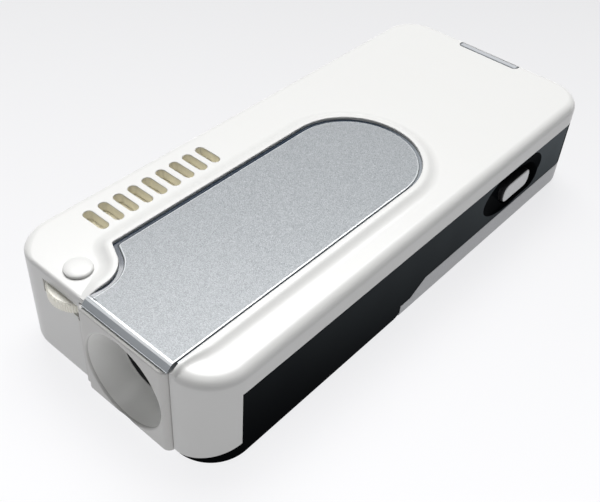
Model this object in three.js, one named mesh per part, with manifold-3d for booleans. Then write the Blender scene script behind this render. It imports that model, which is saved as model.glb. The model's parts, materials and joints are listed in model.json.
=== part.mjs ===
// A pocket projector, as an assembly of its separate pieces.
//
// Millimetres, +Z up. The lens looks along -Y, and the origin lies on the table under the middle of
// the projector. All heights in the sizes below are measured from the underside of the housing, which
// stands on four feet. Places along Y follow from the front end of the housing or from its rear end, and
// places across follow from its middle or from its sides.

import * as THREE from 'three';
import { mergeVertices } from 'three/addons/utils/BufferGeometryUtils.js';
import Module from 'manifold-3d';

const wasm = await Module();
wasm.setup();

// Sizes of the housing
const body = {
  length: 115, width: 49, height: 20.5, cornerR: 7.8, topRound: 3, baseRound: 0.8,
  wall: 1.6, floor: 1.6, roof: 2, ceilingRound: 1.4, band: 4.8,
};
const seam = 0.12;        // visible joint between two mouldings
const fit = 0.1;          // a fixed piece in its seat
const running = 0.06;     // radial play of what turns or slides
const overrun = 4;        // how far a cutting solid runs past what it cuts
const weld = 0.0001;      // corners nearer than this are one corner
const skirt = { long: 6.9, gap: 0.4 };
const ramp = { acrossShare: 0.28, alongShare: 0.14, inset: 0.6 };
const tongue = { thick: 0.8, high: 1.2, deep: 1.5, clear: 1 };

// Sizes of the lens hood: its well opens as wide as the hood's height lets it
const lens = { x: 5.2, below: 0.65 };
const hood = { sill: 0.4, leftWall: 1.3, rightWall: 1.8, proud: 0.9, edgeR: 1.4, flange: 1.5, lap: 0.8 };
const well = { lip: 1, deep: 8.2, tail: 0.7, wall: 1 };

// Sizes of the silver plate on the top, the groove round it and the raised rim
const channel = { long: 72.5, deep: 0.9, left: 0.55, right: 0.7, notchR: 6.05, notchX: 0.1, notchY: 0.45 };
const notchLean = THREE.MathUtils.degToRad(25);
const plate = { proud: 0.5, edge: 0.25, reach: 0.7, lipReach: 0.4, lipBehind: 1.9, lipThick: 0.2 };
const trim = { left: 0.85, right: 0.4, high: 1.1 };
const rim = { high: 0.8, reach: 3.5 };
const rimReachShares = [1, 0.83, 0.66, 0.51, 0.37, 0.26, -0.3];
const rimHeightShares = [0, 0.08, 0.23, 0.48, 0.85, 1, 1];

// Sizes of the ventilation slots, the dust filter and the indicator window
const vent = { count: 9, width: 1.7, pitch: 3.35, behind: 13.85, shoulder: 0.7, rimGap: 0.5 };
const filter = { thick: 1, margin: 0.8 };
const windowBar = { wide: 15.2, reach: 4.2, drop: 3.5, thick: 1, cornerR: 1 };

// Sizes of the focus drive
const axle = { aside: 5.15, behind: 4.1, r: 0.95, capR: 2.5, capHigh: 0.65, tail: 1.9, domeShare: 0.7 };
const slot = { left: 9.7, right: 0.6, high: 2.8, drop: 2.3 };
const wheel = {
  r: 5.6, thick: 2.15, gap: 0.3, skin: 0.48, knurls: 52, knurlDeep: 0.22, hubR: 2.2, hubHigh: 0.3,
};
const pinion = { pitchR: 1.4, teeth: 8, addendum: 0.3, dedendum: 0.42, rootShare: 0.72, tipShare: 0.22 };
const rack = { ahead: 1.4, thick: 1.6, high: 2.2, below: 0.95, arm: 1.7 };
const post = { gap: 0.2 };
const travel = { lens: 0.8, knob: 2.2, clear: 0.3 };

// Sizes of the lens barrel and its glasses
const barrel = { long: 16.6, floorGap: 1.5, wall: 1.1, lip: 0.4, ledge: 1, ledgeHigh: 0.7 };
const glass = { frontThick: 1.6, rearThick: 1.2, crown: 0.7 };

// Sizes of the light engine
const frame = { halfWide: 9.8, base: 1.3, collar: 3.4, collarWall: 1.3, guideGap: 4.6, tail: 4.4 };
const cube = { pad: 1.6, gap: 2.6 };
const panel = { sideGrow: 0.1, tallGrow: 0.5, thick: 1.4, gap: 0.4, wall: 1.3 };
const collimator = { edge: 0.8, crown: 1.5, holder: 1.7 };
const lamp = { side: 3.4, thick: 1.1, domeR: 1.3, boardGrow: 0.5, boardThick: 1 };
const sink = { base: 1.8, fin: 0.9, count: 8, wallGap: 5.1, ahead: 15.5, long: 26, air: 2.7 };

// Sizes of the electronics
const board = { left: 2.9, right: 4.7, rear: 1.3, front: 3.5, thick: 1, drop: 6.2, tail: 7.8, tailGap: 2.4 };
const standoff = { r: 1.5, x: 12, front: 6.5, rear: 4.8 };
const chip = {
  video: 12, videoThick: 1.5, videoY: 12, power: 6.5, powerThick: 1.1, powerX: 8, powerY: 6,
  memory: 9, memoryThick: 1, memoryX: 6, memoryY: 7,
};
const coil = { r: 2.8, high: 2.8, rim: 0.5, x: 5.2, y: 5 };
const jack = {
  wall: 0.2, long: 8.5, high: 4.7, round: 6.6, mouth: 1.75, depth: 7, plugGap: 0.5, placeShare: 0.83,
};
const power = { mouth: 2.1, pin: 0.6, pinShort: 1 };
const usb = { x: 0.4, wide: 7.7, high: 3.9, wall: 0.45, depth: 6 };
const pipe = { inset: 3.6, r: 0.8, ledHigh: 0.9, ledSide: 1.8 };
const ribbon = { inset: 0.5, thick: 0.25, clear: 1, lap: 4 };

// Sizes of the power switch on the right side; its upper edge is a share of the parting line's height
const knobWell = { topShare: 0.72, inset: 31, long: 13.5, high: 5.9, deep: 3.1 };
const scoop = { out: 0.4, deep: 2.2, halfLong: 12.2, halfHigh: 5.6, ahead: 2.8 };
const knob = { inset: 0.45, long: 10.4, high: 4.5, thick: 2.35, sunk: 0.6, crown: 0.45, end: 0.9 };
const stem = { long: 2.2, high: 1.8, reach: 5.9 };
const switchBlock = { thick: 4.2, ahead: 1.7, behind: 3 };
const switchBody = { wide: 4.5, high: 3.8, lap: 0.8, boardGap: 0.4 };

// Sizes of the battery bay and its cover, whose side heights are shares of the parting line's height
const cover = { ahead: 4.4, lowShare: 0.1847, highShare: 0.3376, wall: 1.4, floor: 1.3, flat: 3, rise: 4.4 };
const rail = { thick: 0.85, gap: 0.15, bite: 0.95, play: 0.45, below: 0.95, ahead: 10, tail: 4.8 };
const grip = { ribs: 5, pitch: 1.8, wide: 14, deep: 0.5, ridge: 0.8, ahead: 5 };
const battery = { cornerR: 1.2, gap: 0.3, rearGap: 2.4 };
const bay = { wall: 1.4, gap: 0.4, thick: 1.2, tail: 0.6, bulkhead: 1.2, boardGap: 0.9 };
const contact = {
  count: 3, pitch: 5, wide: 1.6, thick: 0.3, blockWide: 15, highShare: 0.74, blockDeep: 2.2, room: 2.5,
  waistShare: 0.5, tipShare: 0.3,
};

// Sizes of the feet and the screws
const foot = { r: 2.6, high: 1.1, proud: 0.5, side: 6.1, front: 16.5, rear: 8.5 };
const screw = {
  gap: 0.3, front: 9.4, rear: 7.7, headR: 1.7, headHigh: 1.1, headShare: 0.8, brimShare: 0.4, r: 0.9,
  sunk: 2.4, boss: 2.3, split: 5, bite: 1, edge: 0.85, lengthShare: 0.75,
};

// How finely round stretches are divided
const steps = {
  quarter: 6, round: 4, base: 2, rear: 22, notch: 6, small: 4, pin: 16, lens: 32, knob: 4, screw: 10,
};

// Places of the housing's ends, sides and inner faces
const half = { length: body.length / 2, width: body.width / 2 };
const front = -half.length;
const rear = half.length;
const right = half.width;
const innerRight = right - body.wall;
const ceiling = body.height - body.roof;
const split = body.height - body.band;
const skirtRear = front + skirt.long;

// Places of the lens hood and the channel of the plate above it
const channelFloor = body.height - channel.deep;
const hoodTop = channelFloor - fit;
const lensZ = hoodTop / 2 - lens.below;
const mouthR = lensZ - hood.sill;
const hoodLeft = lens.x - mouthR - hood.leftWall;
const hoodRight = lens.x + mouthR + hood.rightWall;
const hoodFront = front - hood.proud;
const flangeRear = front + hood.flange;
const wellEnd = front + well.deep;
const wellRear = wellEnd + well.tail;
const columnLeft = hoodRight + skirt.gap;
const rampStart = columnLeft + ramp.inset;

// Places of the focus axle, the notch round its head and the plate
const axleX = hoodLeft - axle.aside;
const axleY = front + axle.behind;
const notchX = axleX + channel.notchX;
const notchY = axleY + channel.notchY;
const channelLeft = axleX - channel.left;
const channelRight = hoodRight + channel.right;
const channelRear = front + channel.long;
const plateTop = body.height + plate.proud;
const plateFront = front - plate.reach;
const lipFront = front - plate.lipReach;
const lipRear = front + plate.lipBehind;
const lipLow = channelFloor + fit + plate.lipThick;

// Places of the wheel in its slot, the pinion under it and the rack
const slotLeft = hoodLeft - slot.left;
const slotRight = hoodLeft - slot.right;
const slotHigh = body.height - slot.drop;
const slotLow = slotHigh - slot.high;
const wheelHigh = slotHigh - wheel.gap;
const wheelLow = wheelHigh - wheel.thick;
const rackHigh = wheelLow - rack.below;
const rackLow = rackHigh - rack.high;
const pinionLow = rackLow - fit;
const axleFoot = pinionLow - axle.tail;

// Places of the vents and the indicator window
const ventLeft = -right + body.topRound + vent.shoulder;
const ventRight = channelLeft - rim.reach - vent.rimGap;
const ventFirst = front + vent.behind;
const windowFront = rear - windowBar.reach;
const windowLow = body.height - windowBar.drop;

// Places along the lens axis, from the barrel to the wall behind the panel
const barrelR = lensZ - body.floor - barrel.floorGap;
const boreR = barrelR - barrel.wall;
const barrelMouthR = boreR + barrel.lip;
const ledgeR = boreR - barrel.ledgeHigh;
const wellEndR = barrelR + travel.clear;
const barrelFront = wellEnd + travel.clear;
const barrelRear = barrelFront + barrel.long;
const armFront = wellRear + travel.lens + travel.clear + fit;
const armRear = armFront + rack.arm;
const frameFront = armRear + travel.lens + travel.clear;
const frameLow = body.floor + fit;
const baseTop = frameLow + frame.base;
const cubeHalf = lensZ - baseTop - cube.pad;
const cubeY = barrelRear + travel.lens + cube.gap + cubeHalf;
const panelFront = cubeY + cubeHalf + panel.gap;
const panelRear = panelFront + panel.thick;
const wallRear = panelRear + fit + panel.wall;
const frameRear = wallRear + frame.tail;
const frameRight = lens.x + frame.halfWide;

// Places across the lens axis, from the prism to the heat sink
const cubeFace = lens.x - cubeHalf;
const holderRight = cubeFace - travel.clear;
const holderLeft = holderRight - collimator.holder;
const lampFront = holderLeft - collimator.crown - fit;
const lampBack = lampFront - lamp.thick;
const sinkFace = lampBack - fit * 2 - lamp.boardThick;
const sinkFront = cubeY - sink.ahead;
const sinkRear = sinkFront + sink.long;
const sinkHigh = ceiling - fit - filter.thick - sink.air;

// Places of the board, which hangs from the parting line, and of what stands on it
const coverFront = frameRear + cover.ahead;
const boardLow = split - board.drop;
const boardTop = boardLow + board.thick;
const onBoard = boardTop + fit;
const boardLeft = -innerRight + board.left;
const boardRight = innerRight - board.right;
const boardFront = coverFront + board.front;
const boardRear = rear - body.wall - board.rear;
const tailY = boardRear - board.tail;
const jackRear = rear - body.wall - jack.wall;
const jackFront = jackRear - jack.long;
const jackZ = onBoard + jack.high / 2;
const usbZ = onBoard + usb.high / 2;

// Places of the feet and the screws
const footX = right - foot.side;
const footPlaces = [-1, 1].flatMap((end) => [-footX, footX].map((x) => (
  [x, end < 0 ? front + foot.front : rear - foot.rear])));
const screwX = innerRight - screw.gap - screw.boss;
const screwPlaces = [-1, 1].flatMap((end) => [-screwX, screwX].map((x) => (
  [x, end < 0 ? front + screw.front : rear - screw.rear])));
const frameScrewPlaces = [
  [sinkFace + fit * 2 + screw.headR, frameFront + frame.collar + frame.guideGap / 2],
  [frameRight - screw.headR - screw.edge, frameRear - screw.headR - screw.edge],
];
const supplyX = (screwX - screw.boss - jack.round / 2) * jack.placeShare;
const soundX = -supplyX;
const pipeX = (soundX + jack.round / 2 + usb.x - usb.wide / 2) / 2;
const pipeY = rear - pipe.inset;
const tailHalf = screwX - screw.boss - board.tailGap;

// Places of the battery bay under the board, and of the cover that closes it
const bayCeiling = boardLow - bay.boardGap - bay.thick;
const bayRoof = bayCeiling + bay.thick;
const batteryHalf = right - cover.wall - rail.play - rail.bite - bay.wall - battery.gap;
const batteryLow = cover.floor + battery.gap;
const batteryHigh = bayCeiling - bay.gap;
const blockHigh = (batteryHigh - batteryLow) * contact.highShare;
const batteryFront = coverFront + fit + contact.blockDeep + contact.room;
const batteryRear = jackFront - battery.rearGap;
const bayRear = batteryRear + bay.tail;
const coverLow = split * cover.lowShare;
const coverHigh = split * cover.highShare;
const slopeFoot = coverFront + cover.flat;
const slopeTop = slopeFoot + cover.rise;
const railLow = coverHigh - rail.below - rail.thick;
const flangeLow = railLow - rail.gap - rail.thick;
const railFront = coverFront + rail.ahead;
const railRear = batteryRear - rail.tail;
const gripFront = coverFront + grip.ahead;

// Places of the power switch
const knobTop = split * knobWell.topShare;
const knobZ = knobTop - knob.high / 2;
const knobWellFront = rear - knobWell.inset;
const knobWellRear = knobWellFront + knobWell.long;
const knobFront = knobWellFront + knob.inset;
const knobMiddle = knobFront + knob.long / 2;
const knobFace = right - knob.sunk;
const knobBack = knobFace - knob.thick;
const stemTip = right - stem.reach;
const scoopY = knobWellFront + scoop.ahead;
const switchBlockInner = right - switchBlock.thick;
const switchRight = stemTip + switchBody.lap;
const switchLeft = switchRight - switchBody.wide;

// Solids from three.js geometry, and back again
function solid(geometry) {
  const bare = geometry.clone();
  bare.deleteAttribute('normal');
  bare.deleteAttribute('uv');
  const closed = mergeVertices(bare, weld);
  return new wasm.Manifold(new wasm.Mesh({
    numProp: 3,
    vertProperties: new Float32Array(closed.attributes.position.array),
    triVerts: new Uint32Array(closed.index.array),
  }));
}

function join(first, ...others) {
  return others.reduce((whole, part) => whole.add(part), first);
}

function cut(first, ...others) {
  return others.reduce((whole, part) => whole.subtract(part), first);
}

// A block between its low and high corners
function block(x0, x1, y0, y1, z0, z1) {
  const geometry = new THREE.BoxGeometry(x1 - x0, y1 - y0, z1 - z0);
  geometry.translate((x0 + x1) / 2, (y0 + y1) / 2, (z0 + z1) / 2);
  return solid(geometry);
}

// An outline in the plan, standing from one height to another
function upright(shape, z0, z1, curveSegments = steps.small) {
  const geometry = new THREE.ExtrudeGeometry(shape, { depth: z1 - z0, bevelEnabled: false, curveSegments });
  geometry.translate(0, 0, z0);
  return solid(geometry);
}

// An outline seen from the front (x, z), running from one place along Y to another
function lengthwise(shape, y0, y1, curveSegments = steps.small) {
  const geometry = new THREE.ExtrudeGeometry(shape, { depth: y1 - y0, bevelEnabled: false, curveSegments });
  geometry.rotateX(Math.PI / 2);
  geometry.translate(0, y1, 0);
  return solid(geometry);
}

// An outline seen from the right side (y, z), running from one place along X to another
function crosswise(shape, x0, x1, curveSegments = steps.small) {
  const geometry = new THREE.ExtrudeGeometry(shape, { depth: x1 - x0, bevelEnabled: false, curveSegments });
  const turn = new THREE.Matrix4().set(0, 0, 1, 0, 1, 0, 0, 0, 0, 1, 0, 0, 0, 0, 0, 1);
  geometry.applyMatrix4(turn);
  geometry.translate(x0, 0, 0);
  return solid(geometry);
}

// An upright cylinder
function disc(x, y, r, z0, z1, segments = steps.pin) {
  const geometry = new THREE.CylinderGeometry(r, r, z1 - z0, segments);
  geometry.rotateX(Math.PI / 2);
  geometry.translate(x, y, (z0 + z1) / 2);
  return solid(geometry);
}

// A profile of [radius, height] points turned about an upright axis
function turned(profile, x, y, segments = steps.pin) {
  const points = profile.map(([r, z]) => new THREE.Vector2(r, z));
  const geometry = new THREE.LatheGeometry(points, segments);
  geometry.rotateX(Math.PI / 2);
  geometry.translate(x, y, 0);
  return solid(geometry);
}

// A profile of [radius, place along Y] points turned about the lens axis
function turnedOnLens(profile, segments = steps.lens) {
  const points = profile.map(([r, y]) => new THREE.Vector2(r, y));
  const geometry = new THREE.LatheGeometry(points, segments);
  geometry.translate(lens.x, 0, lensZ);
  return solid(geometry);
}

// An outline of straight stretches
function outline(points) {
  return new THREE.Shape(points.map(([x, y]) => new THREE.Vector2(x, y)));
}

// A rectangle with round corners
function roundRect(x0, x1, y0, y1, r) {
  const shape = new THREE.Shape();
  shape.absarc(x1 - r, y0 + r, r, -Math.PI / 2, 0);
  shape.absarc(x1 - r, y1 - r, r, 0, Math.PI / 2);
  shape.absarc(x0 + r, y1 - r, r, Math.PI / 2, Math.PI);
  shape.absarc(x0 + r, y0 + r, r, Math.PI, Math.PI * 1.5);
  shape.closePath();
  return shape;
}

// A bar with half-round ends, lying along its longer side
function stadium(x0, x1, y0, y1) {
  return roundRect(x0, x1, y0, y1, Math.min(x1 - x0, y1 - y0) / 2 - weld);
}

// A closed skin through rings of equally many points, each ring at its own height
function loft(rings) {
  const count = rings[0].points.length;
  const positions = rings.flatMap(({ points, z }) => points.flatMap(([x, y]) => [x, y, z]));
  const faces = [];
  for (let level = 0; level + 1 < rings.length; level += 1) {
    for (let i = 0; i < count; i += 1) {
      const next = (i + 1) % count;
      const a = level * count + i;
      const b = level * count + next;
      faces.push(a, b, b + count, a, b + count, a + count);
    }
  }
  const lid = (ring) => THREE.ShapeUtils.triangulateShape(ring.map(([x, y]) => new THREE.Vector2(x, y)), []);
  lid(rings[0].points).forEach(([a, b, c]) => faces.push(a, c, b));
  const last = (rings.length - 1) * count;
  lid(rings[rings.length - 1].points).forEach(([a, b, c]) => faces.push(last + a, last + b, last + c));
  const geometry = new THREE.BufferGeometry();
  geometry.setAttribute('position', new THREE.Float32BufferAttribute(positions, 3));
  geometry.setIndex(faces);
  return solid(geometry);
}

// The plan of the housing, drawn in from its outer wall
function plan(inset) {
  const x = half.width - inset;
  const y = half.length - inset;
  const r = body.cornerR - inset;
  const points = [];
  for (let corner = 0; corner < 4; corner += 1) {
    const sx = corner === 0 || corner === 3 ? 1 : -1;
    const sy = corner < 2 ? 1 : -1;
    for (let i = 0; i <= steps.quarter; i += 1) {
      const angle = (corner + i / steps.quarter) * Math.PI / 2;
      points.push([sx * (x - r) + r * Math.cos(angle), sy * (y - r) + r * Math.sin(angle)]);
    }
  }
  return points;
}

// The rounded block of the housing, drawn in from its outer wall
function hull(inset, z0, z1, topRound, baseRound) {
  const rings = [];
  for (let i = 0; i <= steps.base && baseRound > 0; i += 1) {
    const angle = (i / steps.base) * Math.PI / 2;
    const points = plan(inset + baseRound * (1 - Math.sin(angle)));
    rings.push({ points, z: z0 + baseRound * (1 - Math.cos(angle)) });
  }
  if (baseRound === 0) {
    rings.push({ points: plan(inset), z: z0 });
  }
  for (let i = 0; i <= steps.round && topRound > 0; i += 1) {
    const angle = (i / steps.round) * Math.PI / 2;
    const points = plan(inset + topRound * (1 - Math.cos(angle)));
    rings.push({ points, z: z1 - topRound * (1 - Math.sin(angle)) });
  }
  if (topRound === 0) {
    rings.push({ points: plan(inset), z: z1 });
  }
  return loft(rings);
}

// The outline of the plate's channel, drawn in by one amount on the left, the rear and the notch and by
// another on the right. Its notch goes round the cap of the focus axle, with a straight lead-in.
function channelPoints(inset, insetRight, frontY) {
  const left = channelLeft + inset;
  const farRight = channelRight - insetRight;
  const r = (farRight - left) / 2;
  const centreX = (left + farRight) / 2;
  const centreY = channelRear - inset - r;
  const notchR = channel.notchR + inset;
  const first = Math.PI / 2 - notchLean;
  const touchX = notchX + notchR * Math.cos(first);
  const touchY = notchY + notchR * Math.sin(first);
  const points = [[notchX + notchR, frontY], [farRight, frontY]];
  for (let i = 0; i <= steps.rear; i += 1) {
    const angle = (i / steps.rear) * Math.PI;
    points.push([centreX + r * Math.cos(angle), centreY + r * Math.sin(angle)]);
  }
  points.push([left, touchY + (touchX - left) * Math.tan(notchLean)]);
  for (let i = 0; i <= steps.notch; i += 1) {
    const angle = first * (1 - i / steps.notch);
    points.push([notchX + notchR * Math.cos(angle), notchY + notchR * Math.sin(angle)]);
  }
  return points;
}

// Everything in the housing's frame hangs in this group, lifted by the feet and centred with the hood
const projector = new THREE.Group();
const housing = new THREE.Group();
const frontReach = Math.max(front - hoodFront, front - (axleY - wheel.r));
housing.position.set(0, frontReach / 2, foot.proud);
projector.add(housing);

// The finishes, as colour, roughness and metalness
const finishes = {
  white: [0xf4f4f1, 0.28, 0], black: [0x14171a, 0.2, 0], silver: [0xb3b8bc, 0.45, 0.6],
  darkTrim: [0x2b343d, 0.35, 0.2], ivory: [0xe9e2cd, 0.45, 0], grey: [0xa9adae, 0.4, 0],
  knobGrey: [0xb9bbb6, 0.35, 0.1], smoke: [0xa7adb5, 0.15, 0], lensBlack: [0x101214, 0.5, 0],
  glass: [0x33504c, 0.05, 0], aluminium: [0xb8bcc0, 0.4, 0.9], circuit: [0x1f5a3a, 0.5, 0],
  chip: [0x1b1b1d, 0.45, 0], steel: [0xc4c6c8, 0.3, 1], brass: [0xc9a24a, 0.3, 1],
  rubber: [0x202122, 0.85, 0], felt: [0xbdb194, 0.95, 0], pack: [0x2c2f33, 0.5, 0],
  amber: [0xb9772a, 0.4, 0], copper: [0xb3653c, 0.4, 0.8],
};

function add(name, finish, body3d) {
  const mesh3d = body3d.getMesh();
  const geometry = new THREE.BufferGeometry();
  geometry.setAttribute('position', new THREE.Float32BufferAttribute(mesh3d.vertProperties, 3));
  geometry.setIndex(Array.from(mesh3d.triVerts));
  geometry.computeVertexNormals();
  const [color, roughness, metalness] = finishes[finish];
  const mesh = new THREE.Mesh(geometry, new THREE.MeshStandardMaterial({ color, roughness, metalness }));
  mesh.name = name;
  housing.add(mesh);
  return mesh;
}

// Solids that more than one piece is made with
const whole = hull(0, 0, body.height, body.topRound, body.baseRound);
const everywhere = (z0, z1, y0 = front - overrun, y1 = rear + overrun) => (
  block(-right - overrun, right + overrun, y0, y1, z0, z1));
const rampTop = (drop) => {
  const geometry = new THREE.BoxGeometry(body.width, body.length, body.height);
  geometry.translate(0, 0, -body.height / 2);
  const a = ramp.acrossShare;
  const b = ramp.alongShare;
  geometry.applyMatrix4(new THREE.Matrix4().set(1, 0, 0, 0, 0, 1, 0, 0, a, b, 1, 0, 0, 0, 0, 1));
  geometry.translate(rampStart, front, -drop);
  return solid(geometry).intersect(block(rampStart, right + overrun, front - overrun, skirtRear + overrun,
    -overrun, split));
};
const coverTop = (lift) => outline([
  [coverFront - seam, -overrun], [rear + overrun, -overrun], [rear + overrun, coverHigh + lift],
  [slopeTop, coverHigh + lift], [slopeFoot, coverLow + lift], [coverFront - seam, coverLow + lift],
]);

// The upper half of the housing: the top with its raised rim, the band round the sides and the front wall,
// which reaches down to the underside and round both front corners
function topShell() {
  const tall = hull(0, 0, body.height + rim.high, body.topRound, body.baseRound);
  const rings = rimReachShares.map((share, i) => ({
    points: channelPoints(-rim.reach * share, -rim.reach * share, front - overrun),
    z: body.height + rim.high * rimHeightShares[i],
  }));
  rings.unshift({ points: rings[0].points, z: ceiling });
  const rimSolid = loft(rings).intersect(tall);
  const kept = join(everywhere(split, body.height + overrun),
    everywhere(-overrun, body.height + overrun, front - overrun, skirtRear));
  const cavity = hull(body.wall, -overrun, ceiling, body.ceilingRound, 0);
  const hollow = upright(outline(channelPoints(0, 0, front - overrun)), channelFloor, body.height + overrun);
  const doorway = block(hoodLeft - seam, columnLeft, front - overrun, front + body.wall + overrun,
    -overrun, channelFloor);
  const slotCut = block(slotLeft, slotRight, front - overrun, front + overrun, slotLow, slotHigh);
  const vents = [];
  for (let i = 0; i < vent.count; i += 1) {
    const y = ventFirst + i * vent.pitch;
    const shape = stadium(ventLeft, ventRight, y - vent.width / 2, y + vent.width / 2);
    vents.push(upright(shape, ceiling - overrun, body.height + overrun));
  }
  const bosses = screwPlaces.map(([x, y]) => {
    const low = y < 0 ? screw.split + fit : bayRoof + fit;
    return disc(x, y, screw.boss, low, ceiling + fit);
  });
  const pilots = screwPlaces.map(([x, y]) => (
    disc(x, y, screw.r + fit, -overrun, ceiling - screw.headHigh)));
  const seat = windowSolid(seam);
  const pipeHole = disc(pipeX, pipeY, pipe.r + fit, split, body.height - windowBar.thick);
  const axleHole = disc(axleX, axleY, axle.r + running, split, body.height + overrun);
  const wheelRoom = disc(axleX, axleY, wheel.r + wheel.gap, slotLow, slotHigh, steps.lens)
    .intersect(everywhere(0, body.height, front + wheel.skin));
  const shell = cut(join(whole, rimSolid).intersect(kept), cavity, hollow, doorway, slotCut, rampTop(0));
  return cut(join(shell, ...bosses), ...vents, ...pilots, seat, pipeHole, axleHole, wheelRoom);
}

// The indicator window, a bent bar let into the top and rear of the housing
function windowSolid(grow) {
  const bar = upright(roundRect(-windowBar.wide / 2 - grow, windowBar.wide / 2 + grow, windowFront - grow,
    rear + overrun, windowBar.cornerR), windowLow - grow, body.height + overrun);
  const core = hull(windowBar.thick + grow, -overrun, body.height - windowBar.thick - grow,
    body.topRound - windowBar.thick, 0);
  return whole.intersect(bar).subtract(core);
}

// The lower half of the housing: side walls, floor, the bay for the battery and the seats inside
function bottomShell() {
  const cavity = hull(body.wall, body.floor, body.height, 0, body.baseRound);
  const ring = everywhere(-overrun, body.height, front - overrun, skirtRear + seam)
    .subtract(hull(body.wall + seam, -overrun, body.height, 0, 0))
    .subtract(rampTop(seam));
  const gate = (y1, z0) => block(hoodLeft - hood.lap, columnLeft + fit, front - overrun, y1, z0, body.height);
  const doorway = join(gate(flangeRear + fit, -overrun), gate(wellRear + fit, body.floor), hoodTube(fit));
  const tub = cut(whole.intersect(everywhere(-overrun, split - seam)), cavity, ring, doorway);
  const jackRoom = block(soundX - jack.round, supplyX + jack.round, jackFront,
    rear - body.wall, 0, body.height);
  const lip = cut(
    join(hull(body.wall - fit, split - tongue.deep, split - seam, 0, 0),
      hull(body.wall + fit, split - tongue.deep, split + tongue.high, 0, 0)),
    hull(body.wall + fit + tongue.thick, 0, body.height, 0, 0), jackRoom,
    ...screwPlaces.map(([x, y]) => disc(x, y, screw.boss + fit, 0, body.height)),
  ).intersect(everywhere(0, body.height, skirtRear + body.wall));
  const inside = hull(body.wall - fit, 0, split - tongue.deep, 0, 0);
  const bayHalf = batteryHalf + battery.gap;
  const deck = everywhere(bayCeiling, bayRoof, coverFront - bay.bulkhead).intersect(inside);
  const bulkhead = everywhere(0, bayRoof, coverFront - bay.bulkhead - seam, coverFront - seam)
    .intersect(hull(body.wall - fit, 0, split, 0, body.baseRound));
  const sides = [-1, 1].map((side) => {
    const inner = side * bayHalf;
    const outer = side * (bayHalf + bay.wall);
    const tip = side * (bayHalf + bay.wall + rail.bite);
    const wall = block(Math.min(inner, outer), Math.max(inner, outer), coverFront - fit, bayRear,
      batteryLow, bayRoof);
    const flange = block(Math.min(inner, tip), Math.max(inner, tip), railFront, railRear,
      flangeLow, flangeLow + rail.thick);
    return wall.add(flange);
  });
  const opening = crosswise(coverTop(seam), -right - overrun, right + overrun);
  const seats = screwPlaces.filter(([, y]) => y < 0)
    .map(([x, y]) => disc(x, y, screw.boss + fit, body.floor / 2, screw.split));
  const holes = screwPlaces.map(([x, y]) => disc(x, y, screw.r + fit, -overrun, split - tongue.deep));
  const pilots = frameScrewPlaces.map(([x, y]) => disc(x, y, screw.r + fit, body.floor - screw.bite - fit,
    body.floor + fit, steps.screw));
  const sinks = screwPlaces.filter(([, y]) => y < 0)
    .map(([x, y]) => disc(x, y, screw.headR + fit, -overrun, screw.sunk));
  const focusPost = disc(axleX, axleY, axle.behind - body.wall - post.gap, body.floor / 2, pinionLow - fit)
    .subtract(disc(axleX, axleY, axle.r + fit, axleFoot - fit, body.height));
  const standoffRows = [boardFront + standoff.front, tailY - standoff.rear];
  const standoffs = [-1, 1].flatMap((side) => standoffRows.map((y) => (
    disc(side * standoff.x, y, standoff.r, bayRoof - fit, boardLow - fit))));
  const boss = block(switchBlockInner, innerRight + fit, scoopY - scoop.halfLong - switchBlock.ahead,
    knobWellRear + switchBlock.behind, bayCeiling, split - tongue.deep - fit);
  const feet = footPlaces.filter(([, y]) => y < 0)
    .map(([x, y]) => disc(x, y, foot.r + fit, -overrun, foot.high - foot.proud));
  const shell = cut(join(tub, lip, deck, bulkhead, boss), opening);
  return cut(join(shell, ...sides, ...seats, focusPost, ...standoffs), ...holes, ...pilots, ...sinks, ...feet,
    thumbScoop(), switchWell(), ...jackHoles());
}

// The hollow for the thumb round the power knob, part of a long ball
function thumbScoop() {
  const geometry = new THREE.SphereGeometry(1, steps.pin, steps.pin / 2);
  geometry.scale(scoop.deep, scoop.halfLong, scoop.halfHigh);
  geometry.translate(right + scoop.out, scoopY, knobTop);
  return solid(geometry);
}

// The deeper well that the knob slides in, with the slot for its stem
function switchWell() {
  const pocket = crosswise(stadium(knobWellFront, knobWellRear, knobZ - knobWell.high / 2,
    knobZ + knobWell.high / 2), right - knobWell.deep, right + overrun);
  const gap = block(switchRight - switchBody.lap - fit, right, knobMiddle - stem.long / 2 - fit,
    knobMiddle + stem.long / 2 + travel.knob + fit, knobZ - stem.high / 2 - fit, knobZ + stem.high / 2 + fit);
  return pocket.add(gap);
}

// The openings in the rear wall for the three plugs
function jackHoles() {
  const y0 = rear - body.wall - tongue.thick - tongue.clear;
  const y1 = rear + overrun;
  const round = (x, r) => {
    const shape = new THREE.Shape();
    shape.absarc(x, jackZ, r, 0, Math.PI * 2);
    return lengthwise(shape, y0, y1, steps.small * 3);
  };
  const grow = jack.plugGap;
  const data = lengthwise(roundRect(usb.x - usb.wide / 2 - grow, usb.x + usb.wide / 2 + grow,
    usbZ - usb.high / 2 - grow / 2, usbZ + usb.high / 2 + grow / 2, grow), y0, y1);
  return [round(soundX, jack.mouth + grow), round(supplyX, power.mouth + grow), data];
}

add('top_shell', 'white', topShell());
add('bottom_shell', 'black', bottomShell());
add('indicator_window', 'smoke', windowSolid(0));

// The silver plate, with its edges broken and its front end sloped down to the hood
function coverPlate() {
  const rings = [[0, channelFloor + fit], [0, plateTop - plate.edge], [plate.edge, plateTop]];
  const bodyOfPlate = loft(rings.map(([inset, z]) => ({
    points: channelPoints(trim.left + fit + inset, trim.right + fit + inset, plateFront), z,
  })));
  const slope = crosswise(outline([
    [lipRear, plateTop], [lipFront, lipLow], [plateFront - overrun, lipLow],
    [plateFront - overrun, plateTop + overrun], [lipRear, plateTop + overrun],
  ]), -right, right);
  return bodyOfPlate.subtract(slope);
}
add('cover_plate', 'silver', coverPlate());

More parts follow.
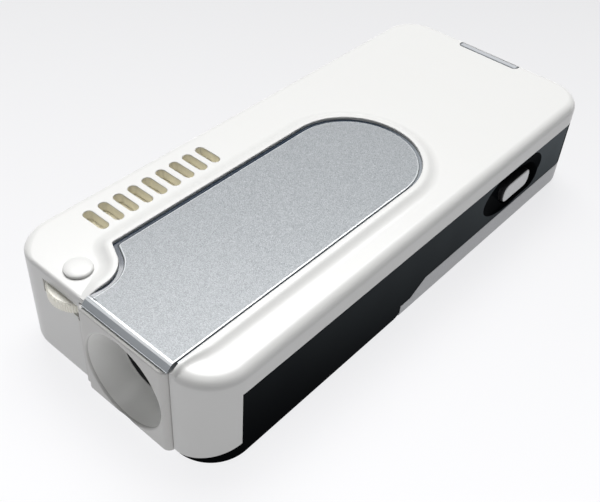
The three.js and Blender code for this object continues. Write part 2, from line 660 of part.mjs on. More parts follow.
// The dark strip that fills the groove round the plate on three sides
function plateTrim() {
  const outer = outline(channelPoints(fit / 2, fit / 2, front + body.wall));
  const inner = outline(channelPoints(trim.left, trim.right, front - overrun));
  const z1 = channelFloor + trim.high;
  return upright(outer, channelFloor + fit / 2, z1).subtract(upright(inner, -overrun, z1 + overrun));
}
add('plate_trim', 'darkTrim', plateTrim());

// The tapered tube behind the hood's front block, up to its rear end
function hoodTube(grow) {
  return turnedOnLens([[0, flangeRear - fit], [mouthR + well.wall / 2 + grow, flangeRear - fit],
    [wellEndR + well.wall + grow, wellRear + grow], [0, wellRear + grow]]);
}

// The hood: a proud front block that laps the front wall, and the tapered well that leads to the lens
function lensHood() {
  const face = new THREE.Shape();
  const r = hood.edgeR;
  face.moveTo(hoodLeft - hood.lap, front - fit);
  face.quadraticCurveTo(hoodLeft, front - fit, hoodLeft + r / 2, (front + hoodFront) / 2);
  face.quadraticCurveTo(hoodLeft + r, hoodFront, hoodLeft + r * 2, hoodFront);
  face.lineTo(hoodRight - r, hoodFront);
  face.absarc(hoodRight - r, hoodFront + r, r, -Math.PI / 2, 0);
  face.lineTo(hoodRight, flangeRear);
  face.lineTo(hoodLeft, flangeRear);
  face.lineTo(hoodLeft, front - fit);
  const block3d = upright(face, 0, hoodTop);
  const tube = hoodTube(0).intersect(everywhere(0, hoodTop));
  const mouth = [[0, hoodFront - overrun], [mouthR + well.lip, hoodFront - overrun],
    [mouthR + well.lip, hoodFront]];
  for (let i = 1; i <= steps.knob; i += 1) {
    const angle = (i / steps.knob) * Math.PI / 2;
    mouth.push([mouthR + well.lip * (1 - Math.sin(angle)),
      hoodFront + well.lip * (1 - Math.cos(angle))]);
  }
  mouth.push([wellEndR, wellEnd], [wellEndR, wellRear + overrun], [0, wellRear + overrun]);
  return block3d.add(tube).subtract(turnedOnLens(mouth));
}
add('lens_hood', 'white', lensHood());

// The focus axle: a domed head on the top and a pin down through the wheel
function focusAxle() {
  const z = body.height;
  const profile = [[0, axleFoot], [axle.r, axleFoot], [axle.r, z + fit], [axle.capR, z + fit]];
  for (let i = 1; i < steps.knob; i += 1) {
    const angle = (i / steps.knob) * Math.PI / 2;
    profile.push([axle.capR * Math.cos(angle), z + fit + axle.capHigh * Math.sin(angle) ** axle.domeShare]);
  }
  profile.push([0, z + fit + axle.capHigh]);
  return turned(profile, axleX, axleY);
}
add('focus_axle', 'white', focusAxle());

// The outline of a toothed pinion: each tooth a blunt wedge, one of them pointing along +X at rest
function pinionShape() {
  const tip = pinion.pitchR + pinion.addendum - running / 2;
  const root = pinion.pitchR - pinion.dedendum;
  const step = Math.PI / pinion.teeth;
  const points = [];
  for (let i = 0; i < pinion.teeth; i += 1) {
    const middle = i * 2 * step;
    [[root, -pinion.rootShare], [tip, -pinion.tipShare], [tip, pinion.tipShare],
      [root, pinion.rootShare]].forEach(([r, share]) => {
      points.push([r * Math.cos(middle + share * step), r * Math.sin(middle + share * step)]);
    });
  }
  return outline(points.map(([x, y]) => [axleX + x, axleY + y]));
}

// The knurled focus wheel, with the pinion under it
function focusWheel() {
  const points = [];
  const knurl = (Math.PI * 2) / wheel.knurls;
  for (let i = 0; i < wheel.knurls; i += 1) {
    points.push([wheel.r * Math.cos(i * knurl), wheel.r * Math.sin(i * knurl)]);
    const low = wheel.r - wheel.knurlDeep;
    points.push([low * Math.cos((i + 1 / 2) * knurl), low * Math.sin((i + 1 / 2) * knurl)]);
  }
  const placed = points.map(([x, y]) => [axleX + x, axleY + y]);
  const rimOfWheel = upright(outline(placed), wheelLow, wheelHigh);
  const hub = disc(axleX, axleY, wheel.hubR, wheelLow, wheelHigh + wheel.hubHigh);
  const gear = upright(pinionShape(), pinionLow, wheelLow + fit);
  const bore = disc(axleX, axleY, axle.r + running, 0, body.height);
  return join(rimOfWheel, hub, gear).subtract(bore);
}
add('focus_wheel', 'ivory', focusWheel());

// The lens barrel, with the arm and the rack that the pinion drives
function lensBarrel() {
  const tube = turnedOnLens([
    [barrelMouthR, barrelFront], [barrelR, barrelFront], [barrelR, barrelRear],
    [boreR, barrelRear],
    [boreR, barrelFront + glass.frontThick * 2 + barrel.ledge],
    [ledgeR, barrelFront + glass.frontThick * 2 + barrel.ledge],
    [ledgeR, barrelFront + glass.frontThick * 2],
    [boreR, barrelFront + glass.frontThick * 2], [boreR, barrelFront + glass.frontThick],
    [barrelMouthR, barrelFront],
  ]);
  const pitch = (2 * Math.PI * pinion.pitchR) / pinion.teeth;
  const line = axleX + pinion.pitchR;
  const top = line - pinion.addendum + running;
  const floor = line + pinion.dedendum;
  const back = floor + rack.thick;
  const barFront = axleY - rack.ahead;
  const points = [[back, armRear], [back, barFront], [floor, barFront]];
  for (let i = -Math.ceil(rack.ahead / pitch); axleY + (i + 1) * pitch < armRear; i += 1) {
    const middle = axleY + (i + 1 / 2) * pitch;
    const root = (pitch * pinion.rootShare) / 2;
    const tip = (pitch * pinion.tipShare) / 2;
    if (middle - root > barFront) {
      points.push([floor, middle - root], [top, middle - tip], [top, middle + tip], [floor, middle + root]);
    }
  }
  points.push([floor, armRear]);
  const bar = upright(outline(points), rackLow, rackHigh);
  const reach = Math.sqrt(barrelR ** 2 - (rackLow - lensZ) ** 2);
  const arm = block(floor, lens.x - reach + barrel.ledge, armFront, armRear, rackLow, rackHigh)
    .subtract(turnedOnLens([[0, barrelFront], [barrelR - fit, barrelFront], [barrelR - fit, barrelRear],
      [0, barrelRear]]));
  return join(tube, bar, arm);
}
add('lens_barrel', 'lensBlack', lensBarrel());

// A round lens on the lens axis, crowned on one side
function lensGlass(y, r, thick, crown) {
  const profile = [[0, y - crown]];
  for (let i = 1; i <= steps.knob; i += 1) {
    const share = i / steps.knob;
    profile.push([r * share, y - crown * (1 - share ** 2)]);
  }
  profile.push([r, y + thick], [0, y + thick]);
  return turnedOnLens(profile, steps.lens / 2);
}
const ledgeFront = barrelFront + glass.frontThick * 2;
const glassR = boreR - fit;
add('front_lens', 'glass', lensGlass(ledgeFront - glass.frontThick - fit, glassR, glass.frontThick,
  glass.crown));
add('rear_lens', 'glass', lensGlass(barrelRear - glass.rearThick * 2, glassR, glass.rearThick, glass.crown));

// The frame of the light engine: a base with two collars that guide the barrel, a seat for the prism, and
// walls that hold the collimator and the picture panel
function opticsFrame() {
  const base = block(sinkFace + fit, frameRight, frameFront, frameRear, frameLow, baseTop);
  const collarHalf = barrelR + running + frame.collarWall;
  const collars = [0, 1].map((i) => {
    const y0 = frameFront + i * (frame.collar + frame.guideGap);
    return block(lens.x - collarHalf, lens.x + collarHalf, y0, y0 + frame.collar, frameLow,
      lensZ + collarHalf);
  });
  const boreEnd = frameFront + frame.collar * 2 + frame.guideGap + fit;
  const bore = turnedOnLens([[0, front], [barrelR + running, front], [barrelR + running, boreEnd],
    [0, boreEnd]]);
  const pad = block(cubeFace, lens.x + cubeHalf, cubeY - cubeHalf, cubeY + cubeHalf, frameLow,
    lensZ - cubeHalf - fit);
  const holderHalf = cubeHalf + frame.collarWall;
  const holder = block(holderLeft, holderRight, cubeY - holderHalf, cubeY + holderHalf, frameLow,
    lensZ + holderHalf);
  const seat = new THREE.Shape();
  seat.absarc(cubeY, lensZ, cubeHalf + fit, 0, Math.PI * 2);
  const eye = crosswise(seat, holderLeft - overrun, holderRight + fit * 2, steps.small * 3);
  const backWall = block(lens.x - cubeHalf - panel.sideGrow, lens.x + cubeHalf + panel.sideGrow,
    panelRear + fit, wallRear, frameLow, lensZ + cubeHalf + panel.tallGrow);
  return cut(join(base, ...collars, pad, holder.subtract(eye), backWall), bore, ...frameScrewPlaces
    .map(([x, y]) => disc(x, y, screw.r + fit, 0, split)));
}
add('optics_frame', 'lensBlack', opticsFrame());

add('beam_prism', 'glass', block(cubeFace, lens.x + cubeHalf, cubeY - cubeHalf, cubeY + cubeHalf,
  lensZ - cubeHalf, lensZ + cubeHalf));
add('picture_panel', 'chip', block(lens.x - cubeHalf - panel.sideGrow, lens.x + cubeHalf + panel.sideGrow,
  panelFront, panelRear, lensZ - cubeHalf - panel.tallGrow, lensZ + cubeHalf + panel.tallGrow));

// The collimator: a lens crowned towards the lamp, lying in the eye of its holder
function collimatorLens() {
  const profile = [[0, 0], [cubeHalf, 0], [cubeHalf, collimator.edge]];
  for (let i = steps.knob - 1; i >= 0; i -= 1) {
    const share = i / steps.knob;
    profile.push([cubeHalf * share, collimator.edge + collimator.crown * (1 - share ** 2)]);
  }
  const geometry = new THREE.LatheGeometry(profile.map(([r, h]) => new THREE.Vector2(r, h)), steps.pin);
  geometry.rotateZ(Math.PI / 2);
  geometry.translate(holderRight, cubeY, lensZ);
  return solid(geometry);
}
add('collimator_lens', 'glass', collimatorLens());

// The lamp on its small board, and the finned heat sink behind it
function lampChip() {
  const base = block(lampBack, lampFront - lamp.thick / 2, cubeY - lamp.side / 2, cubeY + lamp.side / 2,
    lensZ - lamp.side / 2, lensZ + lamp.side / 2);
  const dome = new THREE.SphereGeometry(lamp.domeR, steps.pin / 2, steps.small);
  dome.scale(lamp.thick / 2 / lamp.domeR, 1, 1);
  dome.translate(lampFront - lamp.thick / 2, cubeY, lensZ);
  return base.add(solid(dome));
}
add('lamp_chip', 'amber', lampChip());
const lampBoardHalf = cubeHalf + lamp.boardGrow;
add('lamp_board', 'aluminium', block(sinkFace + fit, lampBack - fit, cubeY - lampBoardHalf,
  cubeY + lampBoardHalf, lensZ - lampBoardHalf, lensZ + lampBoardHalf));

function heatSink() {
  const spacing = (sinkRear - sinkFront - sink.fin) / (sink.count - 1);
  const tip = sink.wallGap - innerRight;
  const root = sinkFace - sink.base;
  const points = [[sinkFace, sinkFront], [sinkFace, sinkRear]];
  for (let i = sink.count - 1; i >= 0; i -= 1) {
    const y = sinkFront + i * spacing;
    points.push([root, y + sink.fin], [tip, y + sink.fin], [tip, y], [root, y]);
  }
  return upright(outline(points.filter(([x, y]) => x !== root || (y > sinkFront && y < sinkRear))),
    frameLow, sinkHigh);
}
add('heat_sink', 'aluminium', heatSink());

add('dust_filter', 'felt', upright(roundRect(ventLeft - filter.margin,
  ventRight + filter.margin, ventFirst - vent.width / 2 - filter.margin,
  ventFirst + (vent.count - 1) * vent.pitch + vent.width / 2 + filter.margin, filter.margin),
ceiling - fit - filter.thick, ceiling - fit));

// The main board: wide in the middle, narrow between the rear screws, and cut away for the switch
function mainBoard() {
  const inner = switchLeft - switchBody.boardGap;
  const y0 = knobFront - switchBody.boardGap;
  const y1 = knobFront + knob.long + switchBody.boardGap;
  const shape = outline([
    [boardLeft, boardFront], [boardRight, boardFront], [boardRight, y0], [inner, y0], [inner, y1],
    [boardRight, y1], [boardRight, tailY], [tailHalf, tailY],
    [tailHalf, boardRear], [-tailHalf, boardRear], [-tailHalf, tailY],
    [boardLeft, tailY],
  ]);
  return upright(shape, boardLow, boardTop);
}
add('main_board', 'circuit', mainBoard());

// What stands on the board
const chipBlock = (x, y, wide, long, thick) => block(x - wide / 2, x + wide / 2, y - long / 2, y + long / 2,
  onBoard, onBoard + thick);
add('video_chip', 'chip', chipBlock(0, boardFront + chip.videoY, chip.video, chip.video, chip.videoThick));
add('power_chip', 'chip', chipBlock(boardLeft + chip.powerX, tailY - chip.powerY, chip.power, chip.power,
  chip.powerThick));
add('memory_chip', 'chip', chipBlock(chip.memoryX, tailY - chip.memoryY, chip.memory, chip.video,
  chip.memoryThick));
add('power_coil', 'copper', turned([[0, onBoard], [coil.r, onBoard], [coil.r, onBoard + coil.rim],
  [coil.r - coil.rim, onBoard + coil.rim * 2], [coil.r - coil.rim, onBoard + coil.high - coil.rim * 2],
  [coil.r, onBoard + coil.high - coil.rim], [coil.r, onBoard + coil.high], [0, onBoard + coil.high]],
boardLeft + coil.x, boardFront + coil.y));

// The round socket of a jack: a block with a bore, and for the supply a pin in the middle of it
function roundJack(x, mouth, pinR) {
  const box = block(x - jack.round / 2, x + jack.round / 2, jackFront, jackRear, onBoard,
    onBoard + jack.high);
  const circle = (r) => {
    const shape = new THREE.Shape();
    shape.absarc(x, jackZ, r, 0, Math.PI * 2);
    return shape;
  };
  const bore = lengthwise(circle(mouth), jackRear - jack.depth, jackRear + overrun, steps.small * 2);
  if (pinR === 0) {
    return box.subtract(bore);
  }
  const pin = lengthwise(circle(pinR), jackFront + fit, jackRear - power.pinShort, steps.small);
  return box.subtract(bore).add(pin);
}
add('sound_jack', 'chip', roundJack(soundX, jack.mouth, 0));
add('supply_jack', 'chip', roundJack(supplyX, power.mouth, power.pin));

// The data port: a thin metal sleeve, closed behind, round a tongue
function dataPort() {
  const x0 = usb.x - usb.wide / 2;
  const x1 = usb.x + usb.wide / 2;
  const z1 = onBoard + usb.high;
  const sleeve = block(x0, x1, jackFront, jackRear, onBoard, z1);
  const space = block(x0 + usb.wall, x1 - usb.wall, jackRear - usb.depth, jackRear + overrun,
    onBoard + usb.wall, z1 - usb.wall);
  const tab = block(x0 + usb.wall * 3, x1 - usb.wall * 3, jackFront + fit, jackRear - power.pinShort,
    usbZ - usb.wall, usbZ + usb.wall);
  return sleeve.subtract(space).add(tab);
}
add('data_port', 'steel', dataPort());

add('indicator_lamp', 'amber', block(pipeX - pipe.ledSide / 2, pipeX + pipe.ledSide / 2,
  boardRear - pipe.ledSide, boardRear, onBoard, onBoard + pipe.ledHigh));
add('light_pipe', 'smoke', disc(pipeX, pipeY, pipe.r, onBoard + pipe.ledHigh + fit,
  body.height - windowBar.thick - fit * 2));

// A strip of even thickness along a line of points in the side view, as wide as given
function strip(points, thick, x0, x1) {
  const sides = [1, -1].map((side) => points.map(([y, z], i) => {
    const before = points[Math.max(i - 1, 0)];
    const after = points[Math.min(i + 1, points.length - 1)];
    const length = Math.hypot(after[0] - before[0], after[1] - before[1]);
    return [y - (side * thick * (after[1] - before[1])) / length / 2,
      z + (side * thick * (after[0] - before[0])) / length / 2];
  }));
  return crosswise(outline([...sides[1], ...sides[0].reverse()]), x0, x1);
}

// The ribbon that takes the picture from the board over the back wall to the panel
function panelRibbon() {
  const y0 = wallRear + fit + ribbon.thick;
  const top = lensZ + cubeHalf + panel.tallGrow + ribbon.thick + fit;
  const curve = new THREE.CatmullRomCurve3([
    new THREE.Vector3(0, panelFront + fit, top), new THREE.Vector3(0, y0 - ribbon.clear, top),
    new THREE.Vector3(0, y0 + ribbon.clear, top - ribbon.clear / 2),
    new THREE.Vector3(0, boardFront - ribbon.clear * 2, boardTop + ribbon.clear),
    new THREE.Vector3(0, boardFront + ribbon.clear, onBoard + ribbon.thick / 2),
    new THREE.Vector3(0, boardFront + ribbon.lap, onBoard + ribbon.thick / 2),
  ]);
  const points = curve.getPoints(steps.lens / 2).map((p) => [p.y, Math.max(p.z, onBoard + ribbon.thick / 2)]);
  return strip(points, ribbon.thick, lens.x - cubeHalf + ribbon.inset, lens.x + cubeHalf - ribbon.inset);
}
add('panel_ribbon', 'amber', panelRibbon());

// The knob: a crowned bar with slanted ends, on a stem that reaches the switch
function powerKnob() {
  const y1 = knobFront + knob.long;
  const bar = crosswise(stadium(knobFront, y1, knobZ - knob.high / 2, knobZ + knob.high / 2), knobBack,
    knobFace);
  const crown = crosswise(stadium(knobFront + knob.end, y1 - knob.end, knobZ - knob.high / 2 + knob.crown,
    knobZ + knob.high / 2 - knob.crown), knobFace - fit, knobFace + knob.crown / 2);
  const rod = block(stemTip, knobBack + fit, knobMiddle - stem.long / 2, knobMiddle + stem.long / 2,
    knobZ - stem.high / 2, knobZ + stem.high / 2);
  return join(bar, crown, rod);
}
add('power_knob', 'knobGrey', powerKnob());

// The slide switch beside the board, grooved for the stem of the knob
function switchCase() {
  const low = bayRoof + fit;
  const box = block(switchLeft, switchRight, knobFront, knobFront + knob.long, low, low + switchBody.high);
  const groove = block(stemTip - fit, switchRight + overrun, knobMiddle - stem.long / 2 - fit,
    knobMiddle + stem.long / 2 + travel.knob + fit, -overrun, knobZ + stem.high / 2 + fit);
  return box.subtract(groove);
}
add('switch_body', 'steel', switchCase());

// The battery pack and the three spring contacts that meet its front end
add('battery_pack', 'pack', upright(roundRect(-batteryHalf, batteryHalf, batteryFront, batteryRear,
  battery.cornerR), batteryLow, batteryHigh));

const blockRear = coverFront + fit + contact.blockDeep;
const contactZ = (batteryLow + batteryHigh) / 2;
add('contact_block', 'chip', block(-contact.blockWide / 2, contact.blockWide / 2, coverFront + fit,
  blockRear, contactZ - blockHigh / 2, contactZ + blockHigh / 2));

function contactSpring(i) {
  const x = (i - (contact.count - 1) / 2) * contact.pitch;
  const y0 = blockRear + fit + contact.thick / 2;
  const y1 = batteryFront - fit - contact.thick / 2;
  const high = blockHigh / 2 - contact.thick;
  const waist = contactZ - high * contact.waistShare;
  const points = [[y0, contactZ + high], [y0, waist], [(y0 + y1) / 2, contactZ - high], [y1, waist],
    [y1, contactZ + high * contact.tipShare], [(y0 + y1) / 2 + fit, contactZ + high]];
  return strip(points, contact.thick, x - contact.wide / 2, x + contact.wide / 2);
}
for (let i = 0; i < contact.count; i += 1) {
  add(`contact_spring_${i + 1}`, 'brass', contactSpring(i));
}

// The battery cover: a shallow tray with rails inside its walls, which slides off to the rear
function batteryCover() {
  const tray = whole.intersect(crosswise(coverTop(0), -right - overrun, right + overrun))
    .subtract(everywhere(-overrun, body.height, front - overrun, coverFront))
    .subtract(hull(cover.wall, cover.floor, body.height, 0, 0));
  const rails = [-1, 1].map((side) => {
    const wall = side * (right - cover.wall + fit);
    const tip = side * (batteryHalf + battery.gap + bay.wall + rail.gap);
    return block(Math.min(wall, tip), Math.max(wall, tip), railFront, railRear, railLow,
      railLow + rail.thick);
  });
  const ribs = [];
  for (let i = 0; i < grip.ribs; i += 1) {
    const y = gripFront + i * grip.pitch;
    ribs.push(block(-grip.wide / 2, grip.wide / 2, y, y + grip.pitch - grip.ridge, -overrun, grip.deep));
  }
  const feet = footPlaces.filter(([, y]) => y > 0)
    .map(([x, y]) => disc(x, y, foot.r + fit, -overrun, foot.high - foot.proud));
  return cut(join(tray, ...rails), ...ribs, ...feet);
}
add('battery_cover', 'grey', batteryCover());

// The rubber feet in their shallow seats
const footNames = ['front_left', 'front_right', 'rear_left', 'rear_right'];
footPlaces.forEach(([x, y], i) => {
  add(`foot_${footNames[i]}`, 'rubber', turned([[0, -foot.proud], [foot.r - fit, -foot.proud],
    [foot.r, -foot.proud + fit], [foot.r, foot.high - foot.proud - fit], [0, foot.high - foot.proud - fit]],
  x, y));
});

// The screws: four that hold the two halves together, and two in the frame of the light engine
function panScrew(x, y, seatZ, up, long) {
  const z0 = seatZ - up * screw.headHigh;
  const brim = z0 + up * screw.headHigh * screw.brimShare;
  const profile = [[0, z0], [screw.headR * screw.headShare, z0], [screw.headR, brim], [screw.headR, seatZ],
    [screw.r, seatZ], [screw.r, seatZ + up * long], [0, seatZ + up * long]];
  return turned(up > 0 ? profile : profile.reverse(), x, y, steps.screw);
}
screwPlaces.forEach(([x, y], i) => {
  const seatZ = y < 0 ? screw.sunk - fit / 2 : bayCeiling - fit / 2;
  const long = (ceiling - screw.headHigh - seatZ) * screw.lengthShare;
  add(`case_screw_${footNames[i]}`, 'steel', panScrew(x, y, seatZ, 1, long));
});
frameScrewPlaces.forEach(([x, y], i) => {
  add(`frame_screw_${i + 1}`, 'steel', panScrew(x, y, baseTop + fit / 2, -1, frame.base + screw.bite));
});

export default projector;
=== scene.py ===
# %% [markdown]
# # A pocket projector
#
# This lesson dresses a small projector: a glossy white upper shell over a black lower one, a silver plate
# let into the top, a lens hood, a knurled focus wheel and a sliding switch. The measured model is already
# there as a fixed frame. It is exact, but its round edges are made of a few flat strips. So each piece that
# the eye meets is modelled again here with fine curves, at the size and place that the frame gives.

# %% Load the frame
import json
import math

import bpy
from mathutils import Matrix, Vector

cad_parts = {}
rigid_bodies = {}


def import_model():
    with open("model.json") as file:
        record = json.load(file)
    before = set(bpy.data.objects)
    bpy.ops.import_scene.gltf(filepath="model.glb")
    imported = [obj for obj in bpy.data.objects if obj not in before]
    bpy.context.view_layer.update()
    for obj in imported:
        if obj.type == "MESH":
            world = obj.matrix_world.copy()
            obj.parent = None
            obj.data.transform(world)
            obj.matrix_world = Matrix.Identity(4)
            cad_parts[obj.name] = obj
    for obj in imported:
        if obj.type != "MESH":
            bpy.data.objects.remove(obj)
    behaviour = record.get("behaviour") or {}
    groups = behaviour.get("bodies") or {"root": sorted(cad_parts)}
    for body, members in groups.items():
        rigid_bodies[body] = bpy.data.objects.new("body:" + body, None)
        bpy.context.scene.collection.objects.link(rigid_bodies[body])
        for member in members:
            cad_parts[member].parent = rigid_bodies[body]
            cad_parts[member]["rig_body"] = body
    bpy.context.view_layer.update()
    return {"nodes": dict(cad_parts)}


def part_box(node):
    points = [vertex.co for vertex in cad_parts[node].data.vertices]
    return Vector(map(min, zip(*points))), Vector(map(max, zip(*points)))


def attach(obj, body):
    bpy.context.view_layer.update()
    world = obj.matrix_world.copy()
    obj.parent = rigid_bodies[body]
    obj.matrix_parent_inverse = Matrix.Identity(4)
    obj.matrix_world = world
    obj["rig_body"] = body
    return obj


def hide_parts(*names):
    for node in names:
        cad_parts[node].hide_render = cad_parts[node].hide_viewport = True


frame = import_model()
nodes = frame["nodes"]
print("nodes in the frame:", len(nodes))

# %% [markdown]
# ## Sizes
#
# A piece fits only if its sizes come from one place. The ends, sides and heights are read from the frame's
# own boxes, and what a box can't tell, such as the radius of a corner, is a named value in millimetres. A
# seam is the hairline that shows between two shells, and play is the small gap or overlap of hidden faces.

# %% Sizes of the housing
MM = 0.001
TINY = 0.002 * MM
FAR = 12 * MM
QUARTER = math.radians(90)

shell_low, shell_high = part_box("top_shell")
rim_high = 0.8 * MM
front, rear = shell_low.y, shell_high.y
right = shell_high.x
base = shell_low.z
top = shell_high.z - rim_high
corner = 7.8 * MM
top_round = 2 * MM
crisp_round = 0.6 * MM
base_round = 0.8 * MM
wall = 1.6 * MM
seam = 0.12 * MM
play = 0.1 * MM
split = top - 4.8 * MM
ceiling = top - 2 * MM
print("housing in mm:", [round(v / MM, 2) for v in (2 * right, rear - front, top - base)])

# %% [markdown]
# ## Tools for the bench
#
# The same few moves come back on every piece: add a primitive at its place, choose some edges by where they
# lie, round them, cut one solid with another, and give the finished surface clean shading. Each move is a
# short function, so the steps of a piece read like the steps of a hand at work.

# %% Choosing and rounding
def clear():
    """Leave edit mode with nothing selected."""
    if bpy.context.object and bpy.context.object.mode != "OBJECT":
        bpy.ops.object.mode_set(mode="OBJECT")
    bpy.ops.object.select_all(action="DESELECT")


def only(piece):
    """Make one piece the only one that is selected."""
    clear()
    piece.select_set(True)
    bpy.context.view_layer.objects.active = piece


def pick(piece, kind, test):
    """Open edit mode with the points, edges or faces chosen whose corner places pass a test."""
    only(piece)
    bpy.ops.object.mode_set(mode="EDIT")
    bpy.ops.mesh.select_mode(type=kind)
    bpy.ops.mesh.select_all(action="DESELECT")
    bpy.ops.object.mode_set(mode="OBJECT")
    mesh = piece.data
    places = [vertex.co.copy() for vertex in mesh.vertices]
    if kind == "VERT":
        for vertex in mesh.vertices:
            vertex.select = test([places[vertex.index]])
    else:
        for part in mesh.edges if kind == "EDGE" else mesh.polygons:
            part.select = test([places[i] for i in part.vertices])
    bpy.ops.object.mode_set(mode="EDIT")


def soften(piece, test, width, segments):
    """Round the chosen edges."""
    pick(piece, "EDGE", test)
    bpy.ops.mesh.bevel(offset=width, segments=segments, affect="EDGES", clamp_overlap=False)
    bpy.ops.object.mode_set(mode="OBJECT")


def runs(axis):
    """A test for edges that run along one axis: 0 is across the object, 1 along it and 2 up."""
    def test(ends):
        gaps = [abs(a - b) for a, b in zip(*ends)]
        return all((gap > TINY) == (i == axis) for i, gap in enumerate(gaps))
    return test


crosswise, lengthwise, upright = runs(0), runs(1), runs(2)


def at_height(z):
    """A test for points that all lie at one height."""
    return lambda places: all(abs(p.z - z) < TINY for p in places)


# %% Solids
def named(name):
    """The new primitive, under its name."""
    piece = bpy.context.object
    piece.name = name
    piece.data.name = name
    return piece


def block(name, low, high):
    """A box between its low and high corners, its place in its mesh."""
    clear()
    low, high = Vector(low), Vector(high)
    bpy.ops.mesh.primitive_cube_add(size=1, location=(low + high) / 2)
    piece = named(name)
    piece.scale = high - low
    bpy.ops.object.transform_apply(location=True, rotation=True, scale=True)
    return piece


def ahead(y):
    """All that lies in front of a place along the object."""
    return block("ahead", (-right - FAR, front - 2 * FAR, base - FAR), (right + FAR, y, top + FAR))


def rounded_block(name, low, high, radius, above=0, below=0, sides=20):
    """A box with round upright corners, and with its upper and lower edges rounded where asked."""
    piece = block(name, low, high)
    soften(piece, upright, radius, sides)
    if above:
        soften(piece, at_height(high[2]), above, 9)
    if below:
        soften(piece, at_height(low[2]), below, 4)
    return piece


def outward(piece):
    """Merge double points and turn every face outwards."""
    only(piece)
    bpy.ops.object.mode_set(mode="EDIT")
    bpy.ops.mesh.select_all(action="SELECT")
    bpy.ops.mesh.remove_doubles(threshold=TINY / 4)
    bpy.ops.mesh.normals_make_consistent(inside=False)
    bpy.ops.object.mode_set(mode="OBJECT")


def copied(piece, name, move):
    """A copy of a piece with its own mesh, moved by a distance."""
    only(piece)
    bpy.ops.object.duplicate(linked=False)
    twin = named(name)
    twin.location = move
    bpy.ops.object.transform_apply(location=True, rotation=True, scale=True)
    return twin


# %% Solids of revolution
def turned(name, profile, centre, axis="Z", sides=96):
    """Draw a solid ring by ring about an axis through a place: each ring is extruded and scaled."""
    clear()
    radius, height = profile[0]
    bpy.ops.mesh.primitive_circle_add(vertices=sides, radius=radius, fill_type="NGON",
                                      location=(0, 0, height))
    piece = named(name)
    bpy.ops.object.transform_apply(location=True)
    bpy.ops.object.mode_set(mode="EDIT")
    bpy.ops.mesh.select_all(action="SELECT")
    for next_radius, next_height in profile[1:]:
        bpy.ops.mesh.extrude_region_move(TRANSFORM_OT_translate={"value": (0, 0, next_height - height)})
        grow = next_radius / radius
        bpy.ops.transform.resize(value=(grow, grow, 1), center_override=(0, 0, next_height))
        radius, height = next_radius, next_height
    bpy.ops.object.mode_set(mode="OBJECT")
    if axis == "Y":
        piece.rotation_euler = (-QUARTER, 0, 0)
        piece.location = (centre.x, 0, centre.z)
    else:
        piece.location = (centre.x, centre.y, 0)
    bpy.ops.object.transform_apply(location=True, rotation=True, scale=True)
    outward(piece)
    return piece


def rod(name, place, radius, low, high):
    """An upright round bar between two heights."""
    return turned(name, [(radius, low), (radius, high)], place, sides=64)


def centre_of(name):
    """The middle of a piece's measured box."""
    low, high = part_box(name)
    return (low + high) / 2


# %% Joining and cutting
def combine(piece, others, how):
    """Join, cut or keep the common part of a piece and other solids, which are used up."""
    for other in others:
        only(piece)
        bpy.ops.object.modifier_add(type="BOOLEAN")
        modifier = piece.modifiers[-1]
        modifier.operation = how
        modifier.solver = "EXACT"
        modifier.object = other
        bpy.ops.object.modifier_apply(modifier=modifier.name)
        bpy.data.objects.remove(other, do_unlink=True)
    return piece


def cut(piece, *others):
    """Take other solids away from a piece."""
    return combine(piece, others, "DIFFERENCE")


def join(piece, *others):
    """Add other solids to a piece."""
    return combine(piece, others, "UNION")


def common(piece, *others):
    """Leave only what a piece shares with other solids."""
    return combine(piece, others, "INTERSECT")


# %% [markdown]
# ## Clean shading
#
# A cut solid has large flat faces beside narrow curved strips. Plain smooth shading would tilt the light on
# the flat faces. So edges sharper than an angle stay sharp, and a Weighted Normal modifier lets the large
# faces keep their own direction, while the strips carry the whole turn. Faces in one plane are dissolved
# into one first, so that a sliver beside a curve can't tilt it.

# %% Finishing a surface
FLAT = math.radians(0.05)


def finished(piece, angle=32):
    """Merge doubles, dissolve flat seams and shade the piece for its curves and flats."""
    only(piece)
    bpy.ops.object.mode_set(mode="EDIT")
    bpy.ops.mesh.select_all(action="SELECT")
    bpy.ops.mesh.remove_doubles(threshold=TINY / 2)
    bpy.ops.mesh.dissolve_limited(angle_limit=FLAT)
    bpy.ops.mesh.normals_make_consistent(inside=False)
    bpy.ops.object.mode_set(mode="OBJECT")
    bpy.ops.object.shade_smooth_by_angle(angle=math.radians(angle))
    bpy.ops.object.modifier_add(type="WEIGHTED_NORMAL")
    piece.modifiers[-1].keep_sharp = True
    bpy.ops.object.modifier_apply(modifier=piece.modifiers[-1].name)
    print(piece.name, "faces:", len(piece.data.polygons))
    return piece


# %% [markdown]
# ## The channel for the plate
#
# The silver plate lies in a shallow channel with one round end. Near the focus axle the channel steps aside
# with a straight lead-in and a quarter bow. One solid with this outline serves three times: drawn outwards
# it is the foot of the raised rim, at its own size it cuts the channel, and drawn inwards it is the plate.
# The outline is a block whose rear corners are rounded until they meet, less a second block for the notch.

# %% Outline of the channel
trim_low, trim_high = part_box("plate_trim")
axle = centre_of("focus_axle")
trim_gap = 0.05 * MM
channel_left = trim_low.x - trim_gap
channel_right = trim_high.x + trim_gap
channel_rear = trim_high.y + trim_gap
channel_floor = top - 0.9 * MM
notch_x = axle.x + 0.1 * MM
notch_y = axle.y + 0.45 * MM
notch_radius = 6.05 * MM
notch_lean = math.radians(25)
notch_turn = math.radians(90) - notch_lean
notch_corner = 0.5 * MM


def lead_in(x, radius):
    """Where the notch's straight lead-in lies at a place across, for a notch of that radius."""
    touch_x = notch_x + radius * math.cos(notch_turn)
    touch_y = notch_y + radius * math.sin(notch_turn)
    return touch_y + (touch_x - x) * math.tan(notch_lean)


